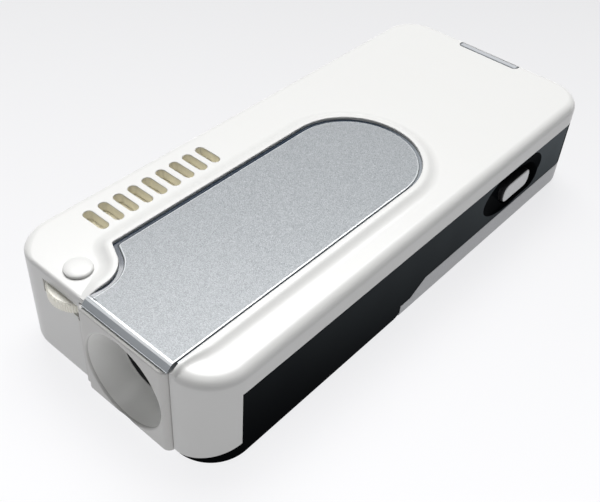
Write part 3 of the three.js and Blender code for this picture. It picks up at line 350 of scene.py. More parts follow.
def channel_block(name, grow, low, high, grow_right=None):
    """The channel's outline between two heights, drawn outwards by an amount, or by another at the right."""
    across = grow if grow_right is None else grow_right
    left, far_right, end = channel_left - grow, channel_right + across, channel_rear + grow
    piece = block(name, (left, front - FAR, low), (far_right, end, high))
    soften(piece, lambda ends: upright(ends) and abs(ends[0].y - end) < TINY, (far_right - left) / 2, 32)
    outward(piece)
    radius = notch_radius - grow
    notch_side = notch_x + radius
    corner_y = lead_in(notch_side, radius)
    notch = block("notch", (left - FAR, front - 2 * FAR, low - FAR), (notch_side, corner_y, high + FAR))
    pick(notch, "VERT", lambda p: p[0].x < left and p[0].y > front)
    bpy.ops.transform.translate(value=(0, lead_in(left - FAR, radius) - corner_y, 0))
    soften(notch, lambda ends: upright(ends) and ends[0].x > left and ends[0].y > front,
           radius * math.tan(notch_turn / 2), 14)
    cut(piece, notch)
    turn_y = lead_in(left, radius)
    turn_round = (notch_corner + max(grow, 0)) * math.tan(notch_turn / 2)
    soften(piece, lambda ends: upright(ends) and abs(ends[0].x - left) < TINY
           and abs(ends[0].y - turn_y) < 4 * TINY, turn_round, 8)
    outward(piece)
    return piece


# %% [markdown]
# ## The raised rim
#
# The rim is a round bead beside the groove that fades outwards in a hollow curve. It could be swept along
# the outline, but a sweep bunches up in the notch. So the outline, drawn outwards, gets its top face inset
# again and again, each time a little higher: first along a hollow arc, then along a round one, and last down
# into the groove.

# %% The rim, ring by ring
rim_reach = 3.5 * MM
rim_crest = 0.6 * MM
rim_lip = 0.2 * MM
rim_deep = 1 * MM
lip_turn = math.radians(70)
hollow_share = 0.66
rim_width = rim_reach - rim_crest
rim_slope = 2 * math.atan(rim_high / rim_width)


def arc(turn, steps):
    """Places along an arc of radius 1, from its foot: how far along and how far up each one lies."""
    return [(math.sin(turn * i / steps), 1 - math.cos(turn * i / steps)) for i in range(steps + 1)]


def rim_profile():
    """Distances outside the channel with their heights, from the rim's foot to its inner lip."""
    hollow_radius = rim_width * hollow_share / math.sin(rim_slope)
    bead_radius = rim_width * (1 - hollow_share) / math.sin(rim_slope)
    hollow = [(rim_reach - hollow_radius * x, hollow_radius * z) for x, z in arc(rim_slope, 8)]
    bead = [(rim_crest + bead_radius * x, rim_high - bead_radius * z) for x, z in arc(rim_slope, 8)]
    bead.reverse()
    return hollow + bead[1:] + [(rim_lip * (1 - x), rim_high - rim_lip * z) for x, z in arc(lip_turn, 4)]


def raised_rim(name):
    """The rim as a stack of insets on the drawn-out channel."""
    profile = rim_profile()
    piece = channel_block(name, rim_reach, top - rim_deep, top)
    pick(piece, "FACE", at_height(top))
    for (far, low), (near, high) in zip(profile, profile[1:]):
        bpy.ops.mesh.inset(thickness=far - near, depth=high - low, use_even_offset=True)
    bpy.ops.object.mode_set(mode="OBJECT")
    outward(piece)
    return piece


# %% [markdown]
# ### Where the rim ends
#
# The real rim has no end face. At the left it sinks into the flat top. At the right it narrows, rolls over
# the front edge and sinks into the front wall. So both ends are cut square first, and then each end face is
# extruded in small steps that carry it under the skin, straight on or bent round the edge.

# %% Ends of the rim
fade_start = front + 5 * MM
fade_end = front + 0.25 * MM
roll_start = front + top_round
narrow_start = front + 8 * MM
rim_middle = 3 * MM
under_skin = 0.05 * MM
shrunk_across, shrunk_high = 0.42, 0.7


def end_face(y, side):
    """A test for the end face at a place along the rim, on the left or the right side."""
    return lambda places: all(abs(p.y - y) < TINY and (p.x - rim_middle) * side > 0 for p in places)


def dive(piece, y, side, steps, high, forward, bend):
    """Draw an end face on in steps that sink it under the skin, forwards or bent round the front edge."""
    pick(piece, "FACE", end_face(y, side))
    depths = [(high + under_skin) * deep for _, deep in arc(QUARTER, steps)]
    for i in range(1, steps + 1):
        sink, turn = depths[i] - depths[i - 1], bend * i / steps
        bpy.ops.mesh.extrude_region_move(TRANSFORM_OT_translate={"value": (0, -forward / steps, 0)})
        bpy.ops.transform.rotate(value=-bend / steps, orient_axis="X", orient_type="GLOBAL",
                                 center_override=(0, roll_start, top - top_round))
        bpy.ops.transform.translate(value=(0, sink * math.sin(turn), -sink * math.cos(turn)))
    bpy.ops.object.mode_set(mode="OBJECT")


def narrow(piece, steps):
    """Draw the right end face on to the front edge, while it shrinks towards the groove."""
    pick(piece, "FACE", end_face(narrow_start, 1))
    last_across, last_high = 1, 1
    for i in range(1, steps + 1):
        ease = (1 - math.cos(math.pi * i / steps)) / 2
        across, high = 1 - (1 - shrunk_across) * ease, 1 - (1 - shrunk_high) * ease
        stride = (roll_start - narrow_start) / steps
        bpy.ops.mesh.extrude_region_move(TRANSFORM_OT_translate={"value": (0, stride, 0)})
        bpy.ops.transform.resize(value=(across / last_across, 1, high / last_high),
                                 center_override=(channel_right, 0, top))
        last_across, last_high = across, high
    bpy.ops.object.mode_set(mode="OBJECT")


def diving_rim(name):
    """The rim with its left end fading out on the flat and its right end rolling over the edge."""
    piece = raised_rim(name)
    low, high = front - 3 * FAR, top + FAR
    cut(piece, block("slot", (rim_middle - MM, low, base), (rim_middle + MM, narrow_start + MM, high)),
        block("left_end", (-right - FAR, low, base), (rim_middle, fade_start, high)),
        block("right_end", (rim_middle, low, base), (right + FAR, narrow_start, high)))
    dive(piece, fade_start, -1, 10, rim_high, fade_start - fade_end, 0)
    narrow(piece, 10)
    dive(piece, roll_start, 1, 12, rim_high * shrunk_high, 0, QUARTER)
    outward(piece)
    return piece


# %% [markdown]
# ## The upper shell
#
# The white shell is a hollow moulding: the whole top, a band round the sides, and the front wall with both
# front corners, which reach down to the table. It starts as the rounded block of the housing with the rim
# joined on. Everything else is cut away from it in the order in which a toolmaker would think of it.

# %% Places along the front
hood_low, hood_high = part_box("lens_hood")
hood_lap = 0.8 * MM
hood_left = hood_low.x + hood_lap
hood_right = hood_high.x
column_left = hood_right + 0.12 * MM
skirt_rear = front + 6.9 * MM
ramp_start = column_left + 0.1 * MM
ramp_across = 0.25
ramp_foot = 0.3 * MM
ramp_along = 0.14
slot_left = hood_left - 9.7 * MM
slot_right = hood_left - 0.6 * MM
slot_high = top - 2.3 * MM
slot_low = slot_high - 2.8 * MM
print("front pieces, left edges in mm:", [round(v / MM, 2) for v in (slot_left, hood_left, column_left)])


# %% Blocks of the housing
def housing(name, inset, low, high, above=0, below=0, sides=20):
    """The housing's rounded block, drawn in from its outer wall."""
    return rounded_block(name, (-right + inset, front + inset, low), (right - inset, rear - inset, high),
                         corner - inset, above, below, sides)


def ramp(name, drop):
    """What lies under the slanted lower edge of the right front corner, lowered by a gap."""
    low = (ramp_start, front - FAR, base - FAR)
    high = (right + FAR, skirt_rear + FAR, base)
    piece = block(name, low, high)
    for x in (low[0], high[0]):
        for y in (low[1], high[1]):
            pick(piece, "VERT", lambda p: (p[0] - Vector((x, y, base))).length < TINY)
            rise = ramp_foot + ramp_across * (x - ramp_start) + ramp_along * (y - front) - drop
            bpy.ops.transform.translate(value=(0, 0, rise))
    bpy.ops.object.mode_set(mode="OBJECT")
    return piece

# %% [markdown]
# ### A top edge that changes its round
#
# The top edge is softly round all about, but it is crisp over the wheel, and the left corner leads from the
# one to the other. A plain bevel has one width. A Bevel modifier that is limited by weight rounds each edge
# by a share of its width, so every edge gets a weight by its place, and one modifier does the rest.

# %% The skin of the upper shell
crisp_turn = math.radians(60)


def edge_share(ends):
    """How round an edge is, as a share: nothing below the top, and less along the front over the wheel."""
    if not at_height(top)(ends):
        return 0
    place = (ends[0] + ends[1]) / 2
    if place.y > front + corner or place.x > corner:
        return 1
    if place.x > -right + corner:
        ease = max(0, place.x / corner)
    else:
        share = min(1, math.asin(min(1, (-right + corner - place.x) / corner)) / crisp_turn)
        ease = share * share * (3 - 2 * share)
    least = crisp_round / top_round
    return round(least + (1 - least) * ease, 3)


def skin_block(name):
    """The housing's block, its top edge round all about but crisp over the wheel."""
    piece = housing(name, 0, base, top, 0, base_round)
    pick(piece, "EDGE", lambda ends: at_height(top)(ends) and all(abs(e.y - front) < TINY for e in ends))
    bpy.ops.mesh.subdivide(number_cuts=5)
    bpy.ops.object.mode_set(mode="OBJECT")
    points = piece.data.vertices
    shares = {edge_share([points[i].co for i in edge.vertices]) for edge in piece.data.edges}
    for share in sorted(shares - {0}):
        pick(piece, "EDGE", lambda ends: edge_share(ends) == share)
        bpy.ops.transform.edge_bevelweight(value=share)
    bpy.ops.object.mode_set(mode="OBJECT")
    bpy.ops.object.modifier_add(type="BEVEL")
    bevel = piece.modifiers[-1]
    bevel.limit_method = "WEIGHT"
    bevel.width = top_round
    bevel.segments = 9
    bevel.use_clamp_overlap = False
    bpy.ops.object.modifier_apply(modifier=bevel.name)
    outward(piece)
    return piece


# %% [markdown]
# ### Openings of the upper shell
#
# Nine slots let the heat out. A slot is a thin block whose round corners meet at its ends, copied along the
# side. The window's bar is the skin of the housing inside a small block, so that it bends over the rear edge
# as the shell does. The same bar, a seam larger, cuts its seat.

# %% Openings of the upper shell
vent_count = 9
vent_pitch = 3.35 * MM
vent_width = 1.95 * MM
vent_left = -right + 3.9 * MM
vent_right = channel_left - rim_reach - 0.7 * MM
vent_first = front + 13.85 * MM
axle_radius = 0.95 * MM
axle_play = 0.06 * MM


def vent_cutters():
    """One long slot with round ends, and its copies along the side."""
    radius = vent_width / 2
    first = rounded_block("vent", (vent_left, vent_first - radius, ceiling - FAR / 4),
                          (vent_right, vent_first + radius, top + FAR / 4), radius * 0.999, sides=10)
    return [first] + [copied(first, "vent", (0, i * vent_pitch, 0)) for i in range(1, vent_count)]


window_short = 1 * MM
window_thick = 1 * MM
window_corner = 1 * MM
window_low, window_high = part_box("indicator_window")
window_low.y += window_short


def window_solid(name, grow):
    """The bar of the window, bent over the rear edge: the housing's skin inside a block."""
    bar = rounded_block(name, window_low - Vector((grow, grow, grow)),
                        (window_high.x + grow, rear + FAR, top + FAR), window_corner + grow, sides=8)
    skin = window_thick + grow
    core = housing("core", skin, base - FAR, top - skin, top_round - window_thick, sides=24)
    return cut(common(bar, housing("whole", 0, base, top, top_round)), core)


# %% The upper shell
hairline = 0.02 * MM
inner_round = 1.4 * MM
column_round = 0.4 * MM
vent_round = 0.16 * MM

upper = skin_block("upper_shell")
join(upper, diving_rim("rim"))
cut(upper, block("under", (-right - FAR, skirt_rear, base - FAR), (right + FAR, rear + FAR, split)))
cut(upper, housing("cavity", wall, base - FAR, ceiling, inner_round))
cut(upper, channel_block("hollow", 0, channel_floor, top + FAR))
cut(upper, block("doorway", (hood_left - hairline, front - FAR, base - FAR),
                 (column_left, front + wall + FAR, channel_floor)))
cut(upper, block("wheel_slot", (slot_left, front - FAR, slot_low), (slot_right, front + FAR / 4, slot_high)))
cut(upper, ramp("ramp", 0))
cut(upper, *vent_cutters())
cut(upper, window_solid("seat", seam))
cut(upper, rod("axle_hole", axle, axle_radius + axle_play, split, top + FAR))
soften(upper, lambda ends: upright(ends) and abs(ends[0].x - column_left) < TINY
       and abs(ends[0].y - front) < TINY, column_round, 5)
soften(upper, lambda ends: at_height(top)(ends)
       and all(vent_left - MM < e.x < vent_right + TINY for e in ends)
       and all(e.y > fade_start + MM for e in ends), vent_round, 3)
finished(upper)

# %% [markdown]
# ## The lens hood
#
# The hood is a separate white moulding in front of the lens: a proud block with a wide funnel in it. The
# funnel is so wide that its lip runs out at the hood's lower edge, which gives that edge its wave. A turned
# cutter makes the funnel in one go, and a tapered tube behind it leads to the lens. Inside, a small step, the
# baffle, parts the mouth, painted lighter as painted light, from the throat, painted black as painted shade.
# A thin lap beside the hood covers the joint.

# %% The funnel
lens_centre = centre_of("front_lens")
hood_front, well_rear, hood_top = hood_low.y, hood_high.y, hood_high.z
flange_rear = front + 1.5 * MM
mouth_radius = lens_centre.z - base - 0.15 * MM
tube_radius = lens_centre.z - base + play
well_end = front + 8.2 * MM
well_end_radius = 6.3 * MM
baffle = front + 5.1 * MM
baffle_step = 0.3 * MM
lip = 0.45 * MM


def funnel(name):
    """The cutter of the lens well, from its flared lip to the hole for the barrel."""
    profile = [(mouth_radius + lip, hood_front - FAR)]
    profile += [(mouth_radius + lip * (1 - x), hood_front + lip * z) for x, z in arc(QUARTER, 8)]
    share = (baffle - hood_front - lip) / (well_end - hood_front - lip)
    narrow_radius = mouth_radius + (well_end_radius - mouth_radius) * share
    profile += [(narrow_radius, baffle), (narrow_radius - baffle_step, baffle + baffle_step / 10)]
    profile += [(well_end_radius - baffle_step, well_end), (well_end_radius - baffle_step, well_rear + FAR)]
    return turned(name, profile, lens_centre, "Y", 128)


# %% The hood
hood_edge = 0.5 * MM
lap_proud = 0.3 * MM
lap_round = 0.27 * MM
lap_high = slot_low - 0.05 * MM

hood = block("hood", (hood_left, hood_front, base), (hood_right, flange_rear, hood_top))
for side, radius in ((-1, 1.25 * MM), (1, 1.4 * MM)):
    soften(hood, lambda ends: upright(ends) and ends[0].y < front
           and (ends[0].x - lens_centre.x) * side > 0, radius, 10)
soften(hood, lambda ends: at_height(hood_top)(ends) and min(e.y for e in ends) < flange_rear - TINY
       and min(e.x for e in ends) < hood_right - TINY, hood_edge, 5)
lap = block("lap", (hood_left - hood_lap, front - lap_proud, base),
            (hood_left + MM, front - hairline, lap_high))
soften(lap, lambda ends: upright(ends) and ends[0].x < hood_left
       and ends[0].y < front - 2 * play, lap_round, 5)
tube = turned("tube", [(tube_radius, flange_rear - play), (well_end_radius + MM, well_rear)],
              lens_centre, "Y", 128)
cut(tube, block("below", (-right, front - FAR, base - FAR), (right, rear, base)))
join(hood, lap, tube)
cut(hood, funnel("well"))
finished(hood)

# %% [markdown]
# ## The plate and its groove
#
# The plate is a thick clear sheet over silver paint. Its border is broken by a fine polished bevel, and its
# front end slopes down to the hood. The plate takes the channel's own outline, drawn inwards, so the groove
# round it is even all the way. A dark strip fills the groove on three sides.

# %% The plate
plate_low, plate_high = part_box("cover_plate")
plate_top = plate_high.z
plate_front = plate_low.y + 0.3 * MM
plate_edge = 0.25 * MM
groove_left = 0.95 * MM
groove_right = 0.5 * MM
notch_wall = notch_x + notch_radius
tab_gap = 0.08 * MM
lip_rear = front + 0.75 * MM
lip_front = front - 0.3 * MM
lip_low = channel_floor + 0.3 * MM
lip_edge = 0.4 * MM

plate = channel_block("plate", -groove_left, plate_low.z, plate_top, -groove_right)
cut(plate, ahead(plate_front))
join(plate, block("tab", (notch_wall + tab_gap, plate_front, plate_low.z),
                  (notch_wall + 2 * MM, trim_low.y - 0.15 * MM, plate_top)))
slope = block("slope", (-right, front - FAR, lip_low), (right, lip_front, top + FAR))
pick(slope, "VERT", lambda p: p[0].y > front - MM and p[0].z > plate_top)
lean = (top + FAR - lip_low) / (plate_top - lip_low) * (lip_rear - lip_front)
bpy.ops.transform.translate(value=(0, lean, 0))
cut(plate, slope)
soften(plate, lambda ends: at_height(plate_top)(ends)
       and all(e.y < lip_rear + TINY for e in ends), lip_edge, 3)
soften(plate, at_height(plate_top), plate_edge, 3)
finished(plate, 40)

# %% The trim
trim = channel_block("groove_trim", -trim_gap, trim_low.z, trim_high.z)
cut(trim, channel_block("inside", play - groove_left, base, top + FAR, play - groove_right))
cut(trim, ahead(trim_low.y))
finished(trim, 25)

# %% [markdown]
# ## The focus drive
#
# A knurled wheel looks out of the slot in the front wall. It turns on an axle whose domed head shows on the
# top. The head is turned from rings. The knurls are made by drawing every second pair of columns inwards,
# and the pinion under the wheel, which moves the lens, is made in the same way with fewer and deeper teeth.

# %% Head of the axle
axle_low, axle_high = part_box("focus_axle")
cap_radius = 2.5 * MM
cap_foot = top + 0.03 * MM
cap_edge = cap_foot + 0.08 * MM
cap_fullness = 0.55
cap_rings = 17


def cap_profile():
    """Pin, underside and dome of the axle's head."""
    profile = [(axle_radius, axle_low.z), (axle_radius, cap_foot), (cap_radius - play, cap_foot),
               (cap_radius, cap_edge)]
    for i in range(1, cap_rings + 1):
        angle = QUARTER * i / cap_rings
        profile.append((max(cap_radius * math.cos(angle) ** cap_fullness, hairline),
                        cap_edge + (axle_high.z - cap_edge) * math.sin(angle) ** cap_fullness))
    return profile


cap = finished(turned("axle_head", cap_profile(), axle), 40)

# %% The wheel
wheel_low, wheel_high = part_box("focus_wheel")
wheel_radius = (wheel_high.x - wheel_low.x) / 2
wheel_top = wheel_high.z - 0.3 * MM
wheel_foot = wheel_top - 2.15 * MM
wheel_edge = 0.25 * MM
knurl_count = 76
knurl_deep = 0.14 * MM
hub_radius = 2.2 * MM
pinion_radius = 1.6 * MM
pinion_teeth = 8
pinion_deep = 0.7 * MM
pinion_edge = 0.05 * MM
per_tooth = 4


def column(point, count):
    """Which of the columns of a round bar on the axle a point belongs to."""
    turn = math.atan2(point.y - axle.y, point.x - axle.x) / (2 * math.pi)
    return round(turn * count) % count


def toothed(name, radius, low, high, teeth, deep, edge):
    """A round bar with softened ends, of whose columns every second pair is drawn inwards."""
    sides = teeth * per_tooth
    piece = turned(name, [(radius - edge, low), (radius, low + edge), (radius, high - edge),
                          (radius - edge, high)], axle, sides=sides)
    pick(piece, "VERT", lambda p: column(p[0], sides) % per_tooth >= per_tooth / 2)
    draw = (radius - deep) / radius
    bpy.ops.transform.resize(value=(draw, draw, 1), center_override=(axle.x, axle.y, 0))
    bpy.ops.object.mode_set(mode="OBJECT")
    return piece


wheel = toothed("focus_ring", wheel_radius, wheel_foot, wheel_top, knurl_count, knurl_deep, wheel_edge)
join(wheel, rod("hub", axle, hub_radius, wheel_top - MM, wheel_high.z))
join(wheel, toothed("pinion", pinion_radius, wheel_low.z, wheel_foot + MM / 4, pinion_teeth, pinion_deep,
                    pinion_edge))
cut(wheel, rod("bore", axle, axle_radius + axle_play, base, top))
finished(wheel, 30)

# %% [markdown]
# ## The window over the rear edge
#
# The small window follows the housing over its rear edge, so it is cut out of the housing's own skin.

# %% Window
window = finished(window_solid("window_bar", 0))

# %% [markdown]
# ## The lower shell
#
# The black shell is a tub with a floor in front and an open bay for the battery behind. Its front part hides
# inside the white corners. A long ball hollows the side for the thumb, and a deeper oval well holds the
# knob. Inside stand the walls of the bay, with the flanges that the cover slides on.

# %% Sizes of the lower shell
cover_low, cover_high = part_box("battery_cover")
cover_front = cover_low.y
side_high = cover_high.z - base
cover_flat = 3 * MM
cover_rise = 4.4 * MM
front_high = 2.9 * MM
slope_foot = cover_front + cover_flat
slope_top = slope_foot + cover_rise
floor = 1.6 * MM
pack_low, pack_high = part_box("battery_pack")
bay_half = pack_high.x + 0.3 * MM
bay_wall = 1.4 * MM
bay_ceiling = pack_high.z + 0.4 * MM
bay_roof = bay_ceiling + 1.2 * MM
bay_rear = pack_high.y + 0.6 * MM
rail_bite = 0.95 * MM
rail_thick = 0.85 * MM
rail_low = base + side_high - 0.95 * MM - rail_thick
flange_low = rail_low - 0.15 * MM - rail_thick
rail_front = cover_front + 10 * MM
rail_rear = pack_high.y - 4.8 * MM


def cover_space(name, gap):
    """What lies under the cover's upper edge, which is low in front and rises along a slope."""
    flat = block(name, (-right - FAR, cover_front - gap, base - FAR),
                 (right + FAR, rear + FAR, base + front_high + gap))
    tall = block("tall", (-right - FAR, slope_foot, base - FAR + MM),
                 (right + FAR, rear + FAR, base + side_high + gap))
    pick(tall, "VERT", lambda p: p[0].y < slope_top and p[0].z > base)
    bpy.ops.transform.translate(value=(0, cover_rise, 0))
    pick(tall, "VERT", lambda p: p[0].y < slope_top and p[0].z < base)
    back = (front_high + FAR - MM) * cover_rise / (side_high - front_high)
    bpy.ops.transform.translate(value=(0, -back, 0))
    bpy.ops.object.mode_set(mode="OBJECT")
    return join(flat, tall)


def beside(name, side, near, far, low, high):
    """A block at one side, between two distances from the middle and two places along and up."""
    left_end, right_end = sorted((side * near, side * far))
    return block(name, (left_end, *low), (right_end, *high))


# %% [markdown]
# ### Where the thumb goes
#
# The scoop is a hollow that runs out softly on all sides. A ball, drawn long, cuts such a hollow. The well
# for the knob is a block whose four edges across the object are rounded until they meet.

# %% Scoop and well of the switch
knob_low, knob_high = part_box("power_knob")
knob_well_front = rear - 31 * MM
knob_well_rear = knob_well_front + 13.5 * MM
knob_top = base + (split - base) * 0.72
knob_size = 4.5 * MM
knob_z = knob_top - knob_size / 2
well_half = 5.9 * MM / 2
well_deep = 3.1 * MM
scoop_size = Vector((2.2, 11.6, 5.6)) * MM
scoop_centre = Vector((right + 0.4 * MM, knob_well_front + 2.8 * MM, knob_top))


def scoop(name):
    """A long ball that hollows the side of the shell."""
    clear()
    bpy.ops.mesh.primitive_uv_sphere_add(segments=96, ring_count=48, radius=1)
    piece = named(name)
    piece.scale = scoop_size
    piece.location = scoop_centre
    bpy.ops.object.transform_apply(location=True, rotation=True, scale=True)
    return piece


def knob_well(name):
    """The oval pocket that the knob slides in."""
    piece = block(name, (right - well_deep, knob_well_front, knob_z - well_half),
                  (right + FAR, knob_well_rear, knob_z + well_half))
    soften(piece, crosswise, well_half * 0.999, 16)
    outward(piece)
    return piece


# %% [markdown]
# ### Openings for plugs, screws and feet
#
# The rear wall has two round holes, each with a bevelled edge that leads the plug in, and a flat hole for
# data. In the floor, the front screws lie in sinks under hollow pillars, and the feet in shallow seats. They
# are the shapes of a drill and a milling cutter, so turned bars and one rounded block make them all.

# %% Openings for plugs, screws and feet
foot_seat = base + 0.6 * MM
foot_room = 2.65 * MM
screw_seat = base + 2.4 * MM
pillar_radius, pillar_top = 2.3 * MM, base + 5 * MM
sink_radius, bore_radius = 1.75 * MM, 0.95 * MM
plug_edge = 0.15 * MM
plug_inside = rear - wall - 1.5 * MM
data_room = 0.5 * MM


def plug_holes():
    """The three openings in the rear wall, the round ones with a bevelled edge."""
    holes = []
    for name, radius in (("sound_jack", 2.25 * MM), ("supply_jack", 2.35 * MM)):
        holes.append(turned("plug_hole", [(radius, plug_inside), (radius, rear - plug_edge),
                                          (radius + 2 * plug_edge, rear + plug_edge)],
                            centre_of(name), "Y", 72))
    low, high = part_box("data_port")
    flat = block("data_hole", (low.x - data_room, plug_inside, low.z - data_room / 2),
                 (high.x + data_room, rear + FAR, high.z + data_room / 2))
    soften(flat, lengthwise, 0.9 * MM, 8)
    outward(flat)
    return [*holes, flat]


def foot_seats(end):
    """The two shallow seats for the feet at one end."""
    return [rod("foot_seat", centre_of(f"foot_{end}_{side}"), foot_room, base - FAR, foot_seat)
            for side in ("left", "right")]


# %% The tub of the lower shell
lower = housing("lower_shell", 0, base, split - seam, 0, base_round)
cut(lower, housing("cavity", wall, base + floor, top, 0, base_round))
ring = block("ring", (-right - FAR, front - FAR, base - FAR), (right + FAR, skirt_rear + seam, top))
cut(ring, housing("inner", wall + seam, base - 2 * FAR, top + FAR), ramp("ramp", seam))
cut(lower, ring)
for low, reach in ((base - FAR, flange_rear), (base + floor, well_rear)):
    cut(lower, block("gate", (hood_left - hood_lap, front - FAR, low),
                     (column_left + play, reach + play, top)))
cut(lower, turned("tube_room", [(tube_radius + play, flange_rear - play),
                                (well_end_radius + MM + play, well_rear + play)], lens_centre, "Y"))
print("tub, faces:", len(lower.data.polygons))

# %% The tongue
tongue_thick = 1 * MM
tongue = housing("tongue", wall - play, split - 1.5 * MM, split + 1.2 * MM)
cut(tongue, housing("inside", wall - play + tongue_thick, base, top), ahead(skirt_rear + wall))
step = housing("step", wall - 2 * play, split - 2 * seam, split + 2 * MM)
cut(step, housing("inside", wall + play, base, top))
cut(tongue, step)
join(lower, tongue)
print("tongue joined")

# %% The bay for the battery
bulkhead_thick = 1.2 * MM
deck_gap = 4 * MM
bulkhead_rear = cover_front - seam
bulkhead = block("bulkhead", (-right + wall - play, bulkhead_rear - bulkhead_thick, base + floor / 2),
                 (right - wall + play, bulkhead_rear, bay_roof - play))
deck = block("deck", (-right + wall - 2 * play, bulkhead_rear - MM, bay_ceiling),
             (right - wall + 2 * play, rear - wall - deck_gap, bay_roof))
join(lower, bulkhead, deck)
cut(lower, cover_space("opening", seam))
for side in (-1, 1):
    join(lower, beside("bay_side", side, bay_half, bay_half + bay_wall,
                       (bulkhead_rear - MM / 2, pack_low.z), (bay_rear, bay_roof - 2 * play)))
    join(lower, beside("flange", side, bay_half, bay_half + bay_wall + rail_bite,
                       (rail_front, flange_low), (rail_rear, flange_low + rail_thick)))
print("bay joined")

# %% Switch, screws and feet in the lower shell
switch_deep = 4.2 * MM
switch_wall = 2.3 * MM
switch_top = split - 1.7 * MM

join(lower, block("switch_block", (right - switch_deep, scoop_centre.y - scoop_size.y - switch_wall,
                                   bay_ceiling + 2 * play),
                  (right - wall + 3 * play, knob_well_rear + 3 * MM, switch_top)))
cut(lower, scoop("scoop"), knob_well("knob_well"))
for side in ("left", "right"):
    place = centre_of(f"case_screw_front_{side}")
    join(lower, rod("pillar", place, pillar_radius, base + floor / 2, pillar_top))
    cut(lower, rod("sink", place, sink_radius, base - FAR, screw_seat),
        rod("bore", place, bore_radius, base + floor / 3, pillar_top + MM))
cut(lower, *foot_seats("front"), *plug_holes())
finished(lower)

# %% [markdown]
# ## The battery cover
#
# The grey cover is a shallow tray with the same outer skin as the shell. It slides off to the rear on two
# rails, and ribs under its front end give the thumb a hold.

# %% Battery cover
cover_wall = 1.4 * MM
cover_floor = 1.3 * MM
rail_gap = 0.15 * MM
grip_front = cover_front + 5 * MM
grip_wide = 14 * MM
grip_count = 5
grip_pitch = 1.8 * MM
grip_round = 0.49 * MM

cover = housing("bay_cover", 0, base, top, 0, base_round)
common(cover, cover_space("skin", 0))
cut(cover, housing("tray", cover_wall, base + cover_floor, top), ahead(cover_front))
for side in (-1, 1):
    join(cover, beside("rail", side, bay_half + bay_wall + rail_gap, right - cover_wall + play,
                       (rail_front, rail_low), (rail_rear, rail_low + rail_thick)))
grip = rounded_block("grip", (-grip_wide / 2, grip_front, base - FAR),
                     (grip_wide / 2, grip_front + MM, base + MM / 2), grip_round, sides=6)
grips = [grip] + [copied(grip, "grip", (0, i * grip_pitch, 0)) for i in range(1, grip_count)]
cut(cover, *grips, *foot_seats("rear"))
finished(cover)

# %% [markdown]
# ## The knob of the switch
#
# The knob is a bar with round ends, and the edge round its face is softened, so that it feels crowned. A stem
# behind it reaches the switch on the board.

# %% Knob
knob_front = knob_well_front + 0.45 * MM
knob_rear = knob_front + 10.4 * MM
knob_middle = (knob_front + knob_rear) / 2
knob_face = right - 0.6 * MM
knob_thick = 2.35 * MM
crown_round = 0.5 * MM
stem_half = Vector((0, 1.1, 0.9)) * MM

knob = block("switch_knob", (knob_face - knob_thick, knob_front, knob_z - knob_size / 2),
             (knob_high.x, knob_rear, knob_z + knob_size / 2))
soften(knob, crosswise, knob_size / 2 * 0.8, 10)
soften(knob, lambda ends: all(abs(e.x - knob_high.x) < TINY for e in ends), crown_round, 6)
join(knob, block("stem", Vector((knob_low.x, knob_middle, knob_z)) - stem_half,
                 Vector((knob_face - 2 * MM, knob_middle, knob_z)) + stem_half))
finished(knob, 40)

# %% [markdown]
# ## The front lens
#
# The lens is a disc with a crowned front, turned from rings with enough sides to keep its edge round.

# %% Lens
glass_low, glass_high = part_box("front_lens")
lens_radius = (glass_high.x - glass_low.x) / 2
crown = 0.7 * MM
crown_rings = 11
lens_profile = [(lens_radius, glass_high.y)]
for i in range(crown_rings):
    share = 1 - i / crown_rings
    lens_profile.append((lens_radius * share, glass_low.y + crown * share ** 2))
lens_profile.append((hairline, glass_low.y))
lens = finished(turned("front_glass", lens_profile, lens_centre, "Y"), 40)

# %% [markdown]
# ## Sockets
#
# Three sockets stand on the board behind the rear wall. A round one is a soft-edged block with a bore that
# opens in a cone, and a bright ring round its mouth; the supply socket has a pin too. The flat one for data
# is a bent sleeve of sheet metal round a black tongue.

# %% Sockets
ring_radius = 2.3 * MM
ring_proud = 0.15 * MM
bore_deep = 7 * MM
pin_radius = 0.6 * MM
sheet = 0.4 * MM


def round_socket(name, bore, has_pin):
    """A block with a ringed mouth and a bore, and with a pin in the bore where asked."""
    low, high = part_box(name)
    centre = centre_of(name)
    mouth = high.y
    piece = block(f"{name}_body", low, high - Vector((0, ring_proud, 0)))
    soften(piece, lambda ends: True, 0.3 * MM, 3)
    join(piece, turned("ring", [(ring_radius, mouth - MM), (ring_radius, mouth - play),
                                (ring_radius - play, mouth)], centre, "Y", 64))
    cut(piece, turned("bore", [(bore, mouth - bore_deep), (bore, mouth - ring_proud),
                               (bore + 2 * ring_proud, mouth + ring_proud)], centre, "Y", 64))
    if has_pin:
        join(piece, turned("pin", [(pin_radius, low.y + MM), (pin_radius, mouth - 1.3 * MM),
                                   (pin_radius * 0.6, mouth - MM)], centre, "Y", 32))
    return finished(piece)


sound_socket = round_socket("sound_jack", 1.75 * MM, False)
supply_socket = round_socket("supply_jack", 1.9 * MM, True)

# %% Data port
port_low, port_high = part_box("data_port")
port_middle = (port_low.z + port_high.z) / 2
port_deep = 6 * MM
tab_left = port_low.x + 3 * sheet
tab_right = port_high.x - 3 * sheet

port = block("data_sleeve", port_low, port_high)
soften(port, lengthwise, 0.8 * MM, 6)
space = block("space", (port_low.x + sheet, port_high.y - port_deep, port_low.z + sheet),
              (port_high.x - sheet, rear + FAR, port_high.z - sheet))
soften(space, lengthwise, 0.45 * MM, 6)
cut(port, space)
join(port, block("tab", (tab_left, port_high.y - port_deep - MM / 2, port_middle - sheet),
                 (tab_right, port_high.y - MM, port_middle + sheet)))
finished(port)

# %% [markdown]
# ## Screws and feet
#
# Four screws hold the halves together, and four rubber feet stand under them. The screws have a rounded pan
# head with a cross in it. Both are solids of revolution, and the cross is two bars that are cut out. The
# front screws are longer than the rear ones. So one screw of each length and one foot are modelled, and the
# others are copies, each with its own mesh.

